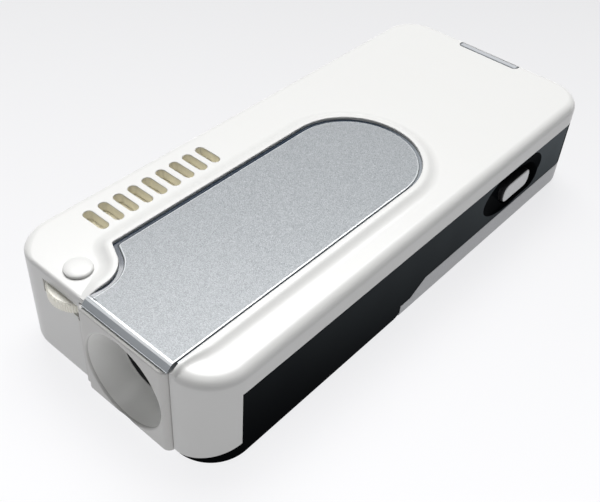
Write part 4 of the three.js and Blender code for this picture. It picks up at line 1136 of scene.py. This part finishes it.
# %% Screws and feet
shank = 0.9 * MM
cross_deep = 0.7 * MM
cross_wide, cross_long = 0.25 * MM, 0.95 * MM


def case_screw(name):
    """A screw with a cross in its pan head, as long as its measured box."""
    low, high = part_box(name)
    radius = (high.x - low.x) / 2
    place = centre_of(name)
    neck = low.z + 1.1 * MM
    profile = [(radius * 0.75, low.z), (radius * 0.92, low.z + 0.15 * MM), (radius, low.z + 0.4 * MM),
               (radius, neck - hairline), (shank, neck), (shank, high.z - 0.6 * MM), (shank * 0.4, high.z)]
    piece = turned(f"{name}_steel", profile, place, sides=48)
    for x, y in ((cross_wide, cross_long), (cross_long, cross_wide)):
        cut(piece, block("bar", (place.x - x, place.y - y, low.z - MM),
                         (place.x + x, place.y + y, low.z + cross_deep)))
    return finished(piece)


def foot(name):
    """A round rubber foot with a soft edge where it meets the table."""
    low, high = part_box(name)
    radius = (high.x - low.x) / 2
    profile = [(radius - 0.45 * MM, low.z), (radius - 0.2 * MM, low.z + 0.07 * MM),
               (radius - 0.05 * MM, low.z + 0.2 * MM), (radius, low.z + 0.4 * MM), (radius, high.z)]
    return finished(turned(f"{name}_rubber", profile, centre_of(name), sides=64))


def with_copies(make, ending, first, *others):
    """A piece for one node, and its copies for other nodes of the same size."""
    pieces = {first: make(first)}
    for name in others:
        pieces[name] = copied(pieces[first], f"{name}_{ending}", centre_of(name) - centre_of(first))
    return pieces


screws = with_copies(case_screw, "steel", "case_screw_front_left", "case_screw_front_right")
screws |= with_copies(case_screw, "steel", "case_screw_rear_left", "case_screw_rear_right")
feet = with_copies(foot, "rubber", "foot_front_left", "foot_front_right", "foot_rear_left", "foot_rear_right")
print("screws and feet:", len(screws) + len(feet))

# %% [markdown]
# ## Finishes
#
# Real plastic is never one even colour under one even gloss. A moulded skin has a faint orange peel, hands
# leave soft patches that shine less, and dust settles on it. These effects come back on most pieces, so each
# is a node group with named inputs, built once. A material places the groups it needs with its own values,
# and keeps what is the same all over, such as its coat, on the shader itself.

# %% Building groups
def new_group(name, inputs, outputs):
    """An empty shader group with number inputs and the outputs that are named with their kinds."""
    group = bpy.data.node_groups.new(name, "ShaderNodeTree")
    for label, value in inputs.items():
        socket = group.interface.new_socket(label, in_out="INPUT", socket_type="NodeSocketFloat")
        socket.default_value = value
    for label, kind in outputs.items():
        group.interface.new_socket(label, in_out="OUTPUT", socket_type=kind)
    entry = group.nodes.new("NodeGroupInput")
    result = group.nodes.new("NodeGroupOutput")
    return group, entry, result


def node(tree, kind, links=None, **settings):
    """A node with its settings, and with its inputs set to values or linked to other sockets."""
    made = tree.nodes.new(kind)
    for label, value in settings.items():
        setattr(made, label, value)
    for label, value in (links or {}).items():
        if isinstance(value, bpy.types.NodeSocket):
            tree.links.new(value, made.inputs[label])
        else:
            made.inputs[label].default_value = value
    return made


def place_of(tree):
    """The place on the object, in metres."""
    return node(tree, "ShaderNodeTexCoord").outputs["Object"]


# %% Small steps
def place_parts(tree):
    """The place across, along and up, as three numbers."""
    parts = node(tree, "ShaderNodeSeparateXYZ", {"Vector": place_of(tree)})
    return [parts.outputs[axis] for axis in "XYZ"]


def noise(tree, place, size, detail):
    """A soft noise, by how many of its patches go to a metre."""
    return node(tree, "ShaderNodeTexNoise", {"Vector": place, "Scale": size, "Detail": detail}).outputs["Fac"]


def number(tree, operation, first, second=0.0):
    """The result of one step of arithmetic."""
    return node(tree, "ShaderNodeMath", {0: first, 1: second}, operation=operation).outputs["Value"]


def ranged(tree, value, start, end, low=0.0, high=1.0, how="LINEAR"):
    """A number that goes from low to high while a value goes from start to end."""
    limits = {"Value": value, "From Min": start, "From Max": end, "To Min": low, "To Max": high}
    return node(tree, "ShaderNodeMapRange", limits, interpolation_type=how).outputs["Result"]


def bumped(tree, height, depth, **below):
    """A normal that follows a height, with its depth in metres, on top of another normal where given."""
    return node(tree, "ShaderNodeBump", {"Height": height, "Distance": depth, **below}).outputs["Normal"]


# %% [markdown]
# ### Moulded skin
#
# The skin of a glossy moulding is not quite flat. A fine noise gives the orange peel and a broad one the
# slow waves that make a reflection swim. Both only tilt the surface, by a bump whose depth is in metres.

# %% Moulded skin
skin, entry, result = new_group("moulded_skin", {"Peel size": 1200.0, "Peel depth": 0.000002,
                                                 "Wave size": 70.0, "Wave depth": 0.000003},
                                {"Normal": "NodeSocketVector"})
here = place_of(skin)
peel = noise(skin, here, entry.outputs["Peel size"], 3.0)
wave = noise(skin, here, entry.outputs["Wave size"], 1.0)
slow = bumped(skin, wave, entry.outputs["Wave depth"])
skin.links.new(bumped(skin, peel, entry.outputs["Peel depth"], Normal=slow), result.inputs["Normal"])
print("group:", skin.name)

# %% [markdown]
# ### Handling
#
# Fingers leave patches with soft edges, and between them the gloss is higher. The group turns a broad noise
# into a roughness between two values, and gives its mask too, so that a material can tint the patches. The
# two values stay on one side of about 0.27. The denoiser reads a smoother surface in another way, and where
# a noise crosses that level it would draw a faint line.

# %% Handling
handling, entry, result = new_group("handling", {"Patch size": 60.0, "Clean": 0.2, "Touched": 0.32},
                                    {"Roughness": "NodeSocketFloat", "Mask": "NodeSocketFloat"})
patches = noise(handling, place_of(handling), entry.outputs["Patch size"], 2.0)
mask = ranged(handling, patches, 0.3, 0.75, how="SMOOTHSTEP")
rough = ranged(handling, mask, 0.0, 1.0, entry.outputs["Clean"], entry.outputs["Touched"])
handling.links.new(rough, result.inputs["Roughness"])
handling.links.new(mask, result.inputs["Mask"])
print("group:", handling.name)

# %% [markdown]
# ### Flakes
#
# Metallic paint is full of small flakes, each at its own tilt. A cell pattern gives every flake a random
# number. It brightens or darkens the flake, and three of them together lean its normal.

# %% Flakes
flakes, entry, result = new_group("flakes", {"Flake size": 4200.0, "Lean": 0.12},
                                  {"Shade": "NodeSocketFloat", "Normal": "NodeSocketVector"})
cells = node(flakes, "ShaderNodeTexVoronoi", {"Vector": place_of(flakes),
                                              "Scale": entry.outputs["Flake size"]})
tilt = node(flakes, "ShaderNodeVectorMath", {0: cells.outputs["Color"], 1: (0.5, 0.5, 0.5)},
            operation="SUBTRACT")
scaled = node(flakes, "ShaderNodeVectorMath", {0: tilt.outputs["Vector"], "Scale": entry.outputs["Lean"]},
              operation="SCALE")
face_normal = node(flakes, "ShaderNodeNewGeometry").outputs["Normal"]
leaned = node(flakes, "ShaderNodeVectorMath", {0: face_normal, 1: scaled.outputs["Vector"]}, operation="ADD")
normal = node(flakes, "ShaderNodeVectorMath", {0: leaned.outputs["Vector"]}, operation="NORMALIZE")
parts = node(flakes, "ShaderNodeSeparateColor", {"Color": cells.outputs["Color"]})
flakes.links.new(parts.outputs["Red"], result.inputs["Shade"])
flakes.links.new(normal.outputs["Vector"], result.inputs["Normal"])
print("group:", flakes.name)

# %% [markdown]
# ### Grain
#
# Satin plastic, rubber and felt share a dry grain: small bumps of uneven size. Two noises of different size
# are multiplied, and the product both lifts the surface and serves as a mask for colour.

# %% Grain
grain, entry, result = new_group("dry_grain", {"Grain size": 3000.0, "Grain depth": 0.00002},
                                 {"Mask": "NodeSocketFloat", "Normal": "NodeSocketVector"})
here = place_of(grain)
small = noise(grain, here, entry.outputs["Grain size"], 4.0)
broad = noise(grain, here, number(grain, "MULTIPLY", entry.outputs["Grain size"], 0.31), 2.0)
both = ranged(grain, number(grain, "MULTIPLY", small, broad), 0.12, 0.4)
grain.links.new(both, result.inputs["Mask"])
grain.links.new(bumped(grain, both, entry.outputs["Grain depth"]), result.inputs["Normal"])
print("group:", grain.name)

# %% [markdown]
# ### From groups to materials
#
# A material starts from the Principled shader. Short helpers place a group in it, tint it between two colours
# by a mask, and give it the moulded skin. Most pieces are plastics that differ only in colour, gloss and
# grain, so they share two functions.

# %% Material helpers
def new_material(name, colour, roughness=0.4, metallic=0.0, **plain):
    """A material whose even values sit on the shader's own sockets."""
    material = bpy.data.materials.new(name)
    material.use_nodes = True
    tree = material.node_tree
    shader = tree.nodes["Principled BSDF"]
    shader.inputs["Base Color"].default_value = (*colour, 1)
    shader.inputs["Roughness"].default_value = roughness
    shader.inputs["Metallic"].default_value = metallic
    for label, value in plain.items():
        shader.inputs[label.replace("_", " ")].default_value = value
    return material, tree, shader


def use(tree, group, **values):
    """Place a group in a material with its own values."""
    placed = node(tree, "ShaderNodeGroup", node_tree=group)
    for label, value in values.items():
        placed.inputs[label.replace("_", " ")].default_value = value
    return placed


def connect(tree, source, shader, label):
    """Link a source to one of the shader's inputs."""
    tree.links.new(source, shader.inputs[label])


def tint(tree, shader, mask, low, high):
    """Colour the shader between two colours, by a mask."""
    mixed = node(tree, "ShaderNodeMix", data_type="RGBA")
    tree.links.new(mask, mixed.inputs["Factor"])
    mixed.inputs["A"].default_value = (*low, 1)
    mixed.inputs["B"].default_value = (*high, 1)
    connect(tree, mixed.outputs["Result"], shader, "Base Color")


def give_skin(tree, shader, **values):
    """Let the shader's surface follow the moulded skin."""
    connect(tree, use(tree, skin, **values).outputs["Normal"], shader, "Normal")


def moulded(name, low, high, clean, touched, coat=0.0, level=0.5):
    """A glossy moulding: skin, handling marks and a faint change of tint."""
    material, tree, shader = new_material(name, low, Coat_Weight=coat, Coat_Roughness=0.18,
                                          Specular_IOR_Level=level)
    marks = use(tree, handling, Clean=clean, Touched=touched)
    give_skin(tree, shader)
    connect(tree, marks.outputs["Roughness"], shader, "Roughness")
    tint(tree, shader, marks.outputs["Mask"], low, high)
    return material


def grained(name, low, high, roughness, size, depth):
    """A dry surface whose grain both lifts and tints it."""
    material, tree, shader = new_material(name, low, roughness)
    texture = use(tree, grain, Grain_size=size, Grain_depth=depth)
    connect(tree, texture.outputs["Normal"], shader, "Normal")
    tint(tree, shader, texture.outputs["Mask"], low, high)
    return material


# %% Plastics
white_gloss = moulded("white_gloss", (0.677, 0.677, 0.667), (0.665, 0.665, 0.653), 0.285, 0.345,
                      coat=0.08, level=0.25)
hood_white = moulded("hood_white", (0.625, 0.62, 0.605), (0.60, 0.595, 0.58), 0.285, 0.39,
                     coat=0.15, level=0.25)
# A lighter copy of the white for the inside of the lens well: painted light.
well_painted_light = moulded("well_painted_light", (0.93, 0.93, 0.91), (0.89, 0.89, 0.87), 0.285, 0.37, coat=0.1)
vent_cream = grained("vent_cream", (0.74, 0.71, 0.605), (0.82, 0.79, 0.68), 0.7, 2600.0, 0.00002)
ivory = grained("ivory", (0.96, 0.935, 0.84), (0.99, 0.975, 0.90), 0.42, 2500.0, 0.00001)
cover_grey = grained("cover_grey", (0.395, 0.40, 0.415), (0.45, 0.455, 0.47), 0.34, 5000.0, 0.000006)
knob_grey = grained("knob_silver", (0.60, 0.61, 0.62), (0.70, 0.71, 0.72), 0.28, 4500.0, 0.000004)
socket_black = grained("socket_black", (0.012, 0.012, 0.013), (0.03, 0.03, 0.032), 0.5, 3500.0, 0.000012)
lens_black = grained("lens_black", (0.006, 0.006, 0.007), (0.018, 0.018, 0.02), 0.55, 4000.0, 0.000015)
rubber = grained("foot_rubber", (0.022, 0.022, 0.023), (0.05, 0.05, 0.052), 0.8, 2600.0, 0.00003)
felt = grained("filter_felt", (0.85, 0.80, 0.63), (0.93, 0.89, 0.73), 0.95, 2200.0, 0.00012)
pack_wrap = moulded("pack_wrap", (0.022, 0.025, 0.03), (0.04, 0.043, 0.05), 0.35, 0.5)
print("plastics done")

# %% [markdown]
# ### The black shell
#
# Black gloss shows what it mirrors. On its outer right side a painted reflection of the pale floor lightens
# the colour towards the rear and towards the parting line. A gradient along the object, broken up by noise,
# is the mask for it.

# %% Black gloss with a painted reflection
black_gloss, tree, shader = new_material("black_gloss", (0.002, 0.0025, 0.003), 0.16, Specular_IOR_Level=0.0,
                                         Coat_Weight=0.015, Coat_Roughness=0.05)
across, along, up = place_parts(tree)
marks = use(tree, handling, Clean=0.1, Touched=0.24, Patch_size=45.0)
# Painted reflection: the colour lightens towards the rear and the parting line, on the outer right side only.
to_rear = ranged(tree, along, front, rear, 0.0, 0.75)
to_seam = ranged(tree, up, base, split, 0.0, 0.25)
reflection_rise = number(tree, "POWER", number(tree, "ADD", to_rear, to_seam), 2.2)
patchy = ranged(tree, marks.outputs["Mask"], 0.0, 1.0, 0.85, 1.1)
outside = ranged(tree, across, right - play, right - hairline, 0.05, 1.0)
painted_reflection_mask = number(tree, "MULTIPLY", number(tree, "MULTIPLY", reflection_rise, patchy), outside)
tint(tree, shader, painted_reflection_mask, (0.001, 0.0014, 0.002), (0.145, 0.165, 0.178))
give_skin(tree, shader, Peel_depth=0.0000015)
connect(tree, marks.outputs["Roughness"], shader, "Roughness")
print("black shell done")

# %% [markdown]
# ### The dark trim
#
# The trim is a smoky strip. On the real one the plate and the rim shine into it more and more towards the
# right. That reflection is painted: its colour is painted lighter along that way, in one soft step.

# %% Trim with a painted reflection towards the right
trim_dark, tree, shader = new_material("trim_smoke", (0.03, 0.04, 0.055), 0.16, Coat_Weight=0.4)
# Painted reflection of the plate and rim: the colour lightens towards the right.
painted_reflection_share = ranged(tree, place_parts(tree)[0], -2 * MM, 15 * MM, how="SMOOTHSTEP")
tint(tree, shader, painted_reflection_share, (0.018, 0.028, 0.045), (0.24, 0.26, 0.28))
give_skin(tree, shader, Peel_depth=0.000001)
print("trim done")

# %% [markdown]
# ### Silver paint under a clear sheet
#
# The plate is bright because of its flakes, not because it is polished. So it is a rough paint with some
# metal in it, whose flakes lean, and the clear sheet over it is the shader's coat, which is smoother. Its
# sloped front end is the bare sheet: smooth, and grey-blue from the paint below. The fine bevel is bare
# sheet too, but painted pale: a painted highlight of the light on that edge.

# %% Silver plate
silver, tree, shader = new_material("silver_paint", (0.2, 0.212, 0.22), 0.5, 0.3, Coat_Weight=0.22,
                                    Coat_Roughness=0.22)
sparkle = use(tree, flakes, Flake_size=7500.0, Lean=0.12)
fine_sparkle = use(tree, flakes, Flake_size=15000.0, Lean=0.1)
both = number(tree, "ADD", sparkle.outputs["Shade"], fine_sparkle.outputs["Shade"])
tint(tree, shader, number(tree, "MULTIPLY", both, 0.5), (0.126, 0.139, 0.15), (0.298, 0.313, 0.325))
connect(tree, sparkle.outputs["Normal"], shader, "Normal")
sheet_edge = moulded("sheet_edge", (0.30, 0.322, 0.345), (0.365, 0.387, 0.41), 0.10, 0.18, coat=1.0)
# A pale copy of the sheet, as a painted highlight on the plate's bevel.
bevel_painted_highlight = moulded("bevel_painted_highlight", (0.66, 0.69, 0.71), (0.72, 0.74, 0.76), 0.06, 0.12, coat=1.0)
print("plate done")

# %% [markdown]
# ### Glass and window
#
# The lens has a thin coating that mirrors green, which the tint of its mirror gives. The window is a pale
# smoky sheet whose border is painted darker: a painted shade where the light can't come up through it. A
# soft step from each edge gives a mask, and the masks are multiplied.

# %% Glass and window
lens_glass, tree, shader = new_material("coated_glass", (0.80, 0.92, 0.88), 0.02, Transmission_Weight=1.0,
                                        IOR=1.6, Specular_Tint=(0.45, 1.0, 0.75, 1))
give_skin(tree, shader, Peel_depth=0.0000002, Wave_depth=0.0000005)

window_smoke, tree, shader = new_material("window_smoke", (0.4, 0.41, 0.43), 0.12, Coat_Weight=0.6)
across, along, _ = place_parts(tree)
from_middle = number(tree, "ABSOLUTE", across)
# The mask is 1 in the middle. The border is painted darker as painted shade.
inside = ranged(tree, from_middle, window_high.x - 0.15 * MM, window_high.x - 0.5 * MM, how="SMOOTHSTEP")
for start, end in ((window_low.y + 0.1 * MM, window_low.y + 0.5 * MM), (rear - 0.7 * MM, rear - 1.1 * MM)):
    inside = number(tree, "MULTIPLY", inside, ranged(tree, along, start, end, how="SMOOTHSTEP"))
tint(tree, shader, inside, (0.16, 0.175, 0.19), (0.50, 0.515, 0.54))
give_skin(tree, shader, Peel_depth=0.000001)
print("glass and window done")


# %% [markdown]
# ### Metals
#
# Drawn wire, pressed sheet and sawn bar show fine lines one way. A noise that is stretched along that way
# gives the lines, and the same noise tints, roughens and lifts the surface, so that they agree.

# %% Metals
def metal(name, low, high, roughness, stretch):
    """A drawn metal: a noise stretched along one way both tints and roughens it."""
    material, tree, shader = new_material(name, low, roughness, 1.0)
    placed = node(tree, "ShaderNodeMapping", {"Vector": place_of(tree), "Scale": stretch})
    lines = noise(tree, placed.outputs["Vector"], 900.0, 4.0)
    tint(tree, shader, lines, low, high)
    connect(tree, ranged(tree, lines, 0.0, 1.0, roughness * 0.7, roughness * 1.4), shader, "Roughness")
    connect(tree, bumped(tree, lines, 0.000004), shader, "Normal")
    return material


steel = metal("steel", (0.50, 0.50, 0.51), (0.66, 0.66, 0.67), 0.3, (1.0, 0.08, 1.0))
aluminium = metal("bare_aluminium", (0.62, 0.63, 0.65), (0.76, 0.77, 0.79), 0.4, (1.0, 0.05, 1.0))
brass = metal("spring_brass", (0.55, 0.40, 0.16), (0.76, 0.60, 0.28), 0.28, (1.0, 1.0, 0.1))
copper = metal("copper_wire", (0.48, 0.21, 0.10), (0.78, 0.42, 0.24), 0.32, (0.1, 0.1, 4.0))
print("metals done")

# %% [markdown]
# ### The circuit board
#
# Lacquered board shows its copper as a pattern of squared tracks under the green. A brick texture gives the
# tracks, and a fine grain the weave of the glass fibre.

# %% Board and ribbon
board_green, tree, shader = new_material("board_green", (0.02, 0.11, 0.055), 0.35, Coat_Weight=0.4)
tracks = node(tree, "ShaderNodeTexBrick", {"Vector": place_of(tree), "Scale": 420.0, "Mortar Size": 0.09,
                                           "Color1": (0.018, 0.10, 0.05, 1), "Color2": (0.022, 0.12, 0.06, 1),
                                           "Mortar": (0.05, 0.20, 0.10, 1)})
weave = use(tree, grain, Grain_size=5200.0, Grain_depth=0.000008)
connect(tree, tracks.outputs["Color"], shader, "Base Color")
connect(tree, weave.outputs["Normal"], shader, "Normal")
amber = moulded("amber_resin", (0.42, 0.20, 0.05), (0.55, 0.29, 0.09), 0.285, 0.36, coat=0.3)
print("board done")

# %% [markdown]
# ## Where each piece belongs
#
# Each new piece takes the place of its node in the frame, moves with the same body and gets its finish.

# %% Places
stand_ins = [
    (upper, "top_shell", "white_shell", white_gloss), (lower, "bottom_shell", "black_shell", black_gloss),
    (hood, "lens_hood", "white_shell", hood_white), (plate, "cover_plate", "silver_plate", silver),
    (trim, "plate_trim", "dark_trim", trim_dark), (cap, "focus_axle", "white_shell", white_gloss),
    (wheel, "focus_wheel", "ivory_wheel", ivory), (window, "indicator_window", "smoke_window", window_smoke),
    (cover, "battery_cover", "grey_cover", cover_grey), (knob, "power_knob", "knob_grey", knob_grey),
    (lens, "front_lens", "lens_glass", lens_glass), (port, "data_port", "steel", steel),
    (sound_socket, "sound_jack", "black_chip", socket_black),
    (supply_socket, "supply_jack", "black_chip", socket_black),
]
stand_ins += [(piece, name, "steel", steel) for name, piece in screws.items()]
stand_ins += [(piece, name, "foot_rubber", rubber) for name, piece in feet.items()]
for piece, name, slot, finish in stand_ins:
    piece.data.materials.clear()
    piece.data.materials.append(finish)
    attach(piece, nodes[name]["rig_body"])
    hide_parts(name)
print("new pieces:", len(stand_ins))

# %% [markdown]
# ### A second finish on some faces
#
# Some mouldings show more than one finish: the plate's bare slope, the cream walls of the slots and the ring
# of a socket. Others carry painted light and shade: the plate's bevel is painted pale as a painted highlight,
# the well is painted lighter as painted light, and the throat behind the baffle and the knob's flanks and
# stem are painted black as painted shade. Each is found by where its faces lie and which way they look.

# %% Which faces
slope_lean = math.cos(math.atan2(plate_top - lip_low, lip_rear - lip_front))
vent_last = vent_first + (vent_count - 1) * vent_pitch


def on_slope(face):
    """True for the plate's sloped front lip."""
    return abs(face.normal.z - slope_lean) < 0.004


def in_vent(face):
    """True for the walls of the slots."""
    x, y, z = face.center
    inside_slots = vent_left - TINY < x < vent_right + TINY and vent_first - MM < y < vent_last + MM
    return inside_slots and ceiling < z < top - play and abs(face.normal.z) < 0.1


def in_well(face):
    """True for the inner wall of the funnel."""
    out = face.center - lens_centre
    inward = face.normal.x * out.x + face.normal.z * out.z < 0
    return inward and face.center.y > hood_front + lip and abs(face.normal.y) < 0.7


def on_metal(name):
    """A test for the ring round a socket's mouth and the pin in its bore."""
    middle, mouth = centre_of(name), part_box(name)[1].y

    def test(face):
        x, y, z = face.center
        reach = math.hypot(x - middle.x, z - middle.z)
        on_ring = y > mouth - 0.12 * MM and reach < ring_radius
        on_pin = y > mouth - bore_deep and reach < pin_radius + TINY
        return on_ring or on_pin
    return test


def on_tab(face):
    """True for the tongue inside the data port."""
    x, y, z = face.center
    beside_tab = tab_left - TINY < x < tab_right + TINY and abs(z - port_middle) < sheet + TINY
    return beside_tab and y > port_high.y - port_deep - play


# %% Finishes of some faces
def dress(piece, finish, test):
    """Give the faces that pass a test one more finish."""
    piece.data.materials.append(finish)
    for face in piece.data.polygons:
        if test(face):
            face.material_index = len(piece.data.materials) - 1


dress(plate, sheet_edge, on_slope)
# The bevel's pale colour is a painted highlight.
dress(plate, bevel_painted_highlight, lambda face: 0.1 < face.normal.z < 0.998 and not on_slope(face))
dress(upper, vent_cream, in_vent)
# The well is painted lighter as painted light; the throat behind the baffle is painted black as painted
# shade.
dress(hood, well_painted_light, lambda face: in_well(face) and face.center.y <= baffle)
dress(hood, lens_black, lambda face: in_well(face) and face.center.y > baffle)
# The knob's flanks and stem are painted black: painted shade round its face in the well.
dress(knob, socket_black, lambda face: face.normal.x < 0.75)
dress(sound_socket, steel, on_metal("sound_jack"))
dress(supply_socket, steel, on_metal("supply_jack"))
dress(port, socket_black, on_tab)
print("faces dressed")

# %% [markdown]
# ## Finishes for what stays
#
# The pieces inside keep their measured shape. They show through an opening or when the battery cover is
# off, so each of them gets its finish too.

# %% Finishes of the inner pieces
stays = {
    lens_black: ["lens_barrel", "optics_frame"],
    lens_glass: ["rear_lens", "beam_prism", "collimator_lens"],
    socket_black: ["picture_panel", "video_chip", "power_chip", "memory_chip", "contact_block"],
    amber: ["lamp_chip", "indicator_lamp", "panel_ribbon"],
    aluminium: ["lamp_board", "heat_sink"],
    felt: ["dust_filter"],
    board_green: ["main_board"],
    copper: ["power_coil"],
    steel: ["switch_body", "frame_screw_1", "frame_screw_2"],
    pack_wrap: ["battery_pack"],
    brass: ["contact_spring_1", "contact_spring_2", "contact_spring_3"],
    window_smoke: ["light_pipe"],
}
for finish, names in stays.items():
    for name in names:
        nodes[name].data.materials.clear()
        nodes[name].data.materials.append(finish)
print("inner pieces:", sum(len(names) for names in stays.values()))

# %% [markdown]
# ## Floor, light and camera
#
# The object lies on a plain pale floor. The light is soft and comes mainly from above, behind and the left,
# so that the top is bright and the sides that face the camera fall into a quiet grey. The floor glows a
# little, more in front than behind, as a backdrop does that curves up to the lamps.

# %% Floor
floor_glow = (0.86, 0.63)
glow_start, glow_end = -0.06, 0.16
glow_way = (-0.62, 0.78, 0)

clear()
bpy.ops.mesh.primitive_plane_add(size=4, location=(0, 0, 0))
ground = named("ground")
pale, tree, shader = new_material("pale_floor", (0.10, 0.10, 0.101), 0.7, Specular_IOR_Level=0.1,
                                  Emission_Color=(0.985, 0.985, 1.0, 1))
away = node(tree, "ShaderNodeVectorMath", {0: place_of(tree), 1: glow_way}, operation="DOT_PRODUCT")
glow = ranged(tree, away.outputs["Value"], glow_start, glow_end, *floor_glow)
connect(tree, glow, shader, "Emission Strength")
ground.data.materials.append(pale)
print("floor done")


# %% Light
def softbox(name, place, aim, size, watts):
    """A square area lamp that looks at a point."""
    bpy.ops.object.light_add(type="AREA", location=place)
    lamp = bpy.context.object
    lamp.name = name
    lamp.data.size = size
    lamp.data.energy = watts
    lamp.rotation_euler = (Vector(aim) - Vector(place)).to_track_quat("-Z", "Y").to_euler()


softbox("sky", (-0.5, 0.6, 1.6), (0, 0, 0), 1.2, 48.5)
softbox("front_sky", (0.18, -0.5, 1.08), (0, 0, 0), 0.5, 1.5)
softbox("left_fill", (-0.17, -0.19, 0.12), (-0.02, -0.05, 0.01), 0.12, 0.006)
softbox("right_fill", (0.32, -0.2, 0.1), (0.01, -0.04, 0.01), 0.2, 0.04)
world = bpy.data.worlds.new("studio")
bpy.context.scene.world = world
world.use_nodes = True
world.node_tree.nodes["Background"].inputs["Color"].default_value = (0.93, 0.96, 1.0, 1)
world.node_tree.nodes["Background"].inputs["Strength"].default_value = 0.03
bpy.context.scene.view_settings.view_transform = "Standard"
print("light done")

# %% [markdown]
# ### Camera
#
# The camera stands where the picture of the real object was taken from. Its place, its turn and its lens
# were fitted to the outline of the housing.

# %% Camera
camera_place = (0.08027, -0.109253, 0.120608)
camera_turn = (47.4064, -3.1333, 41.2649)
bpy.ops.object.camera_add(location=camera_place, rotation=[math.radians(angle) for angle in camera_turn])
camera = bpy.context.object
camera.data.sensor_width = 36
camera.data.lens = 52.356
camera.data.clip_start = 0.01
bpy.context.scene.camera = camera
print("camera lens in mm:", round(camera.data.lens, 1))
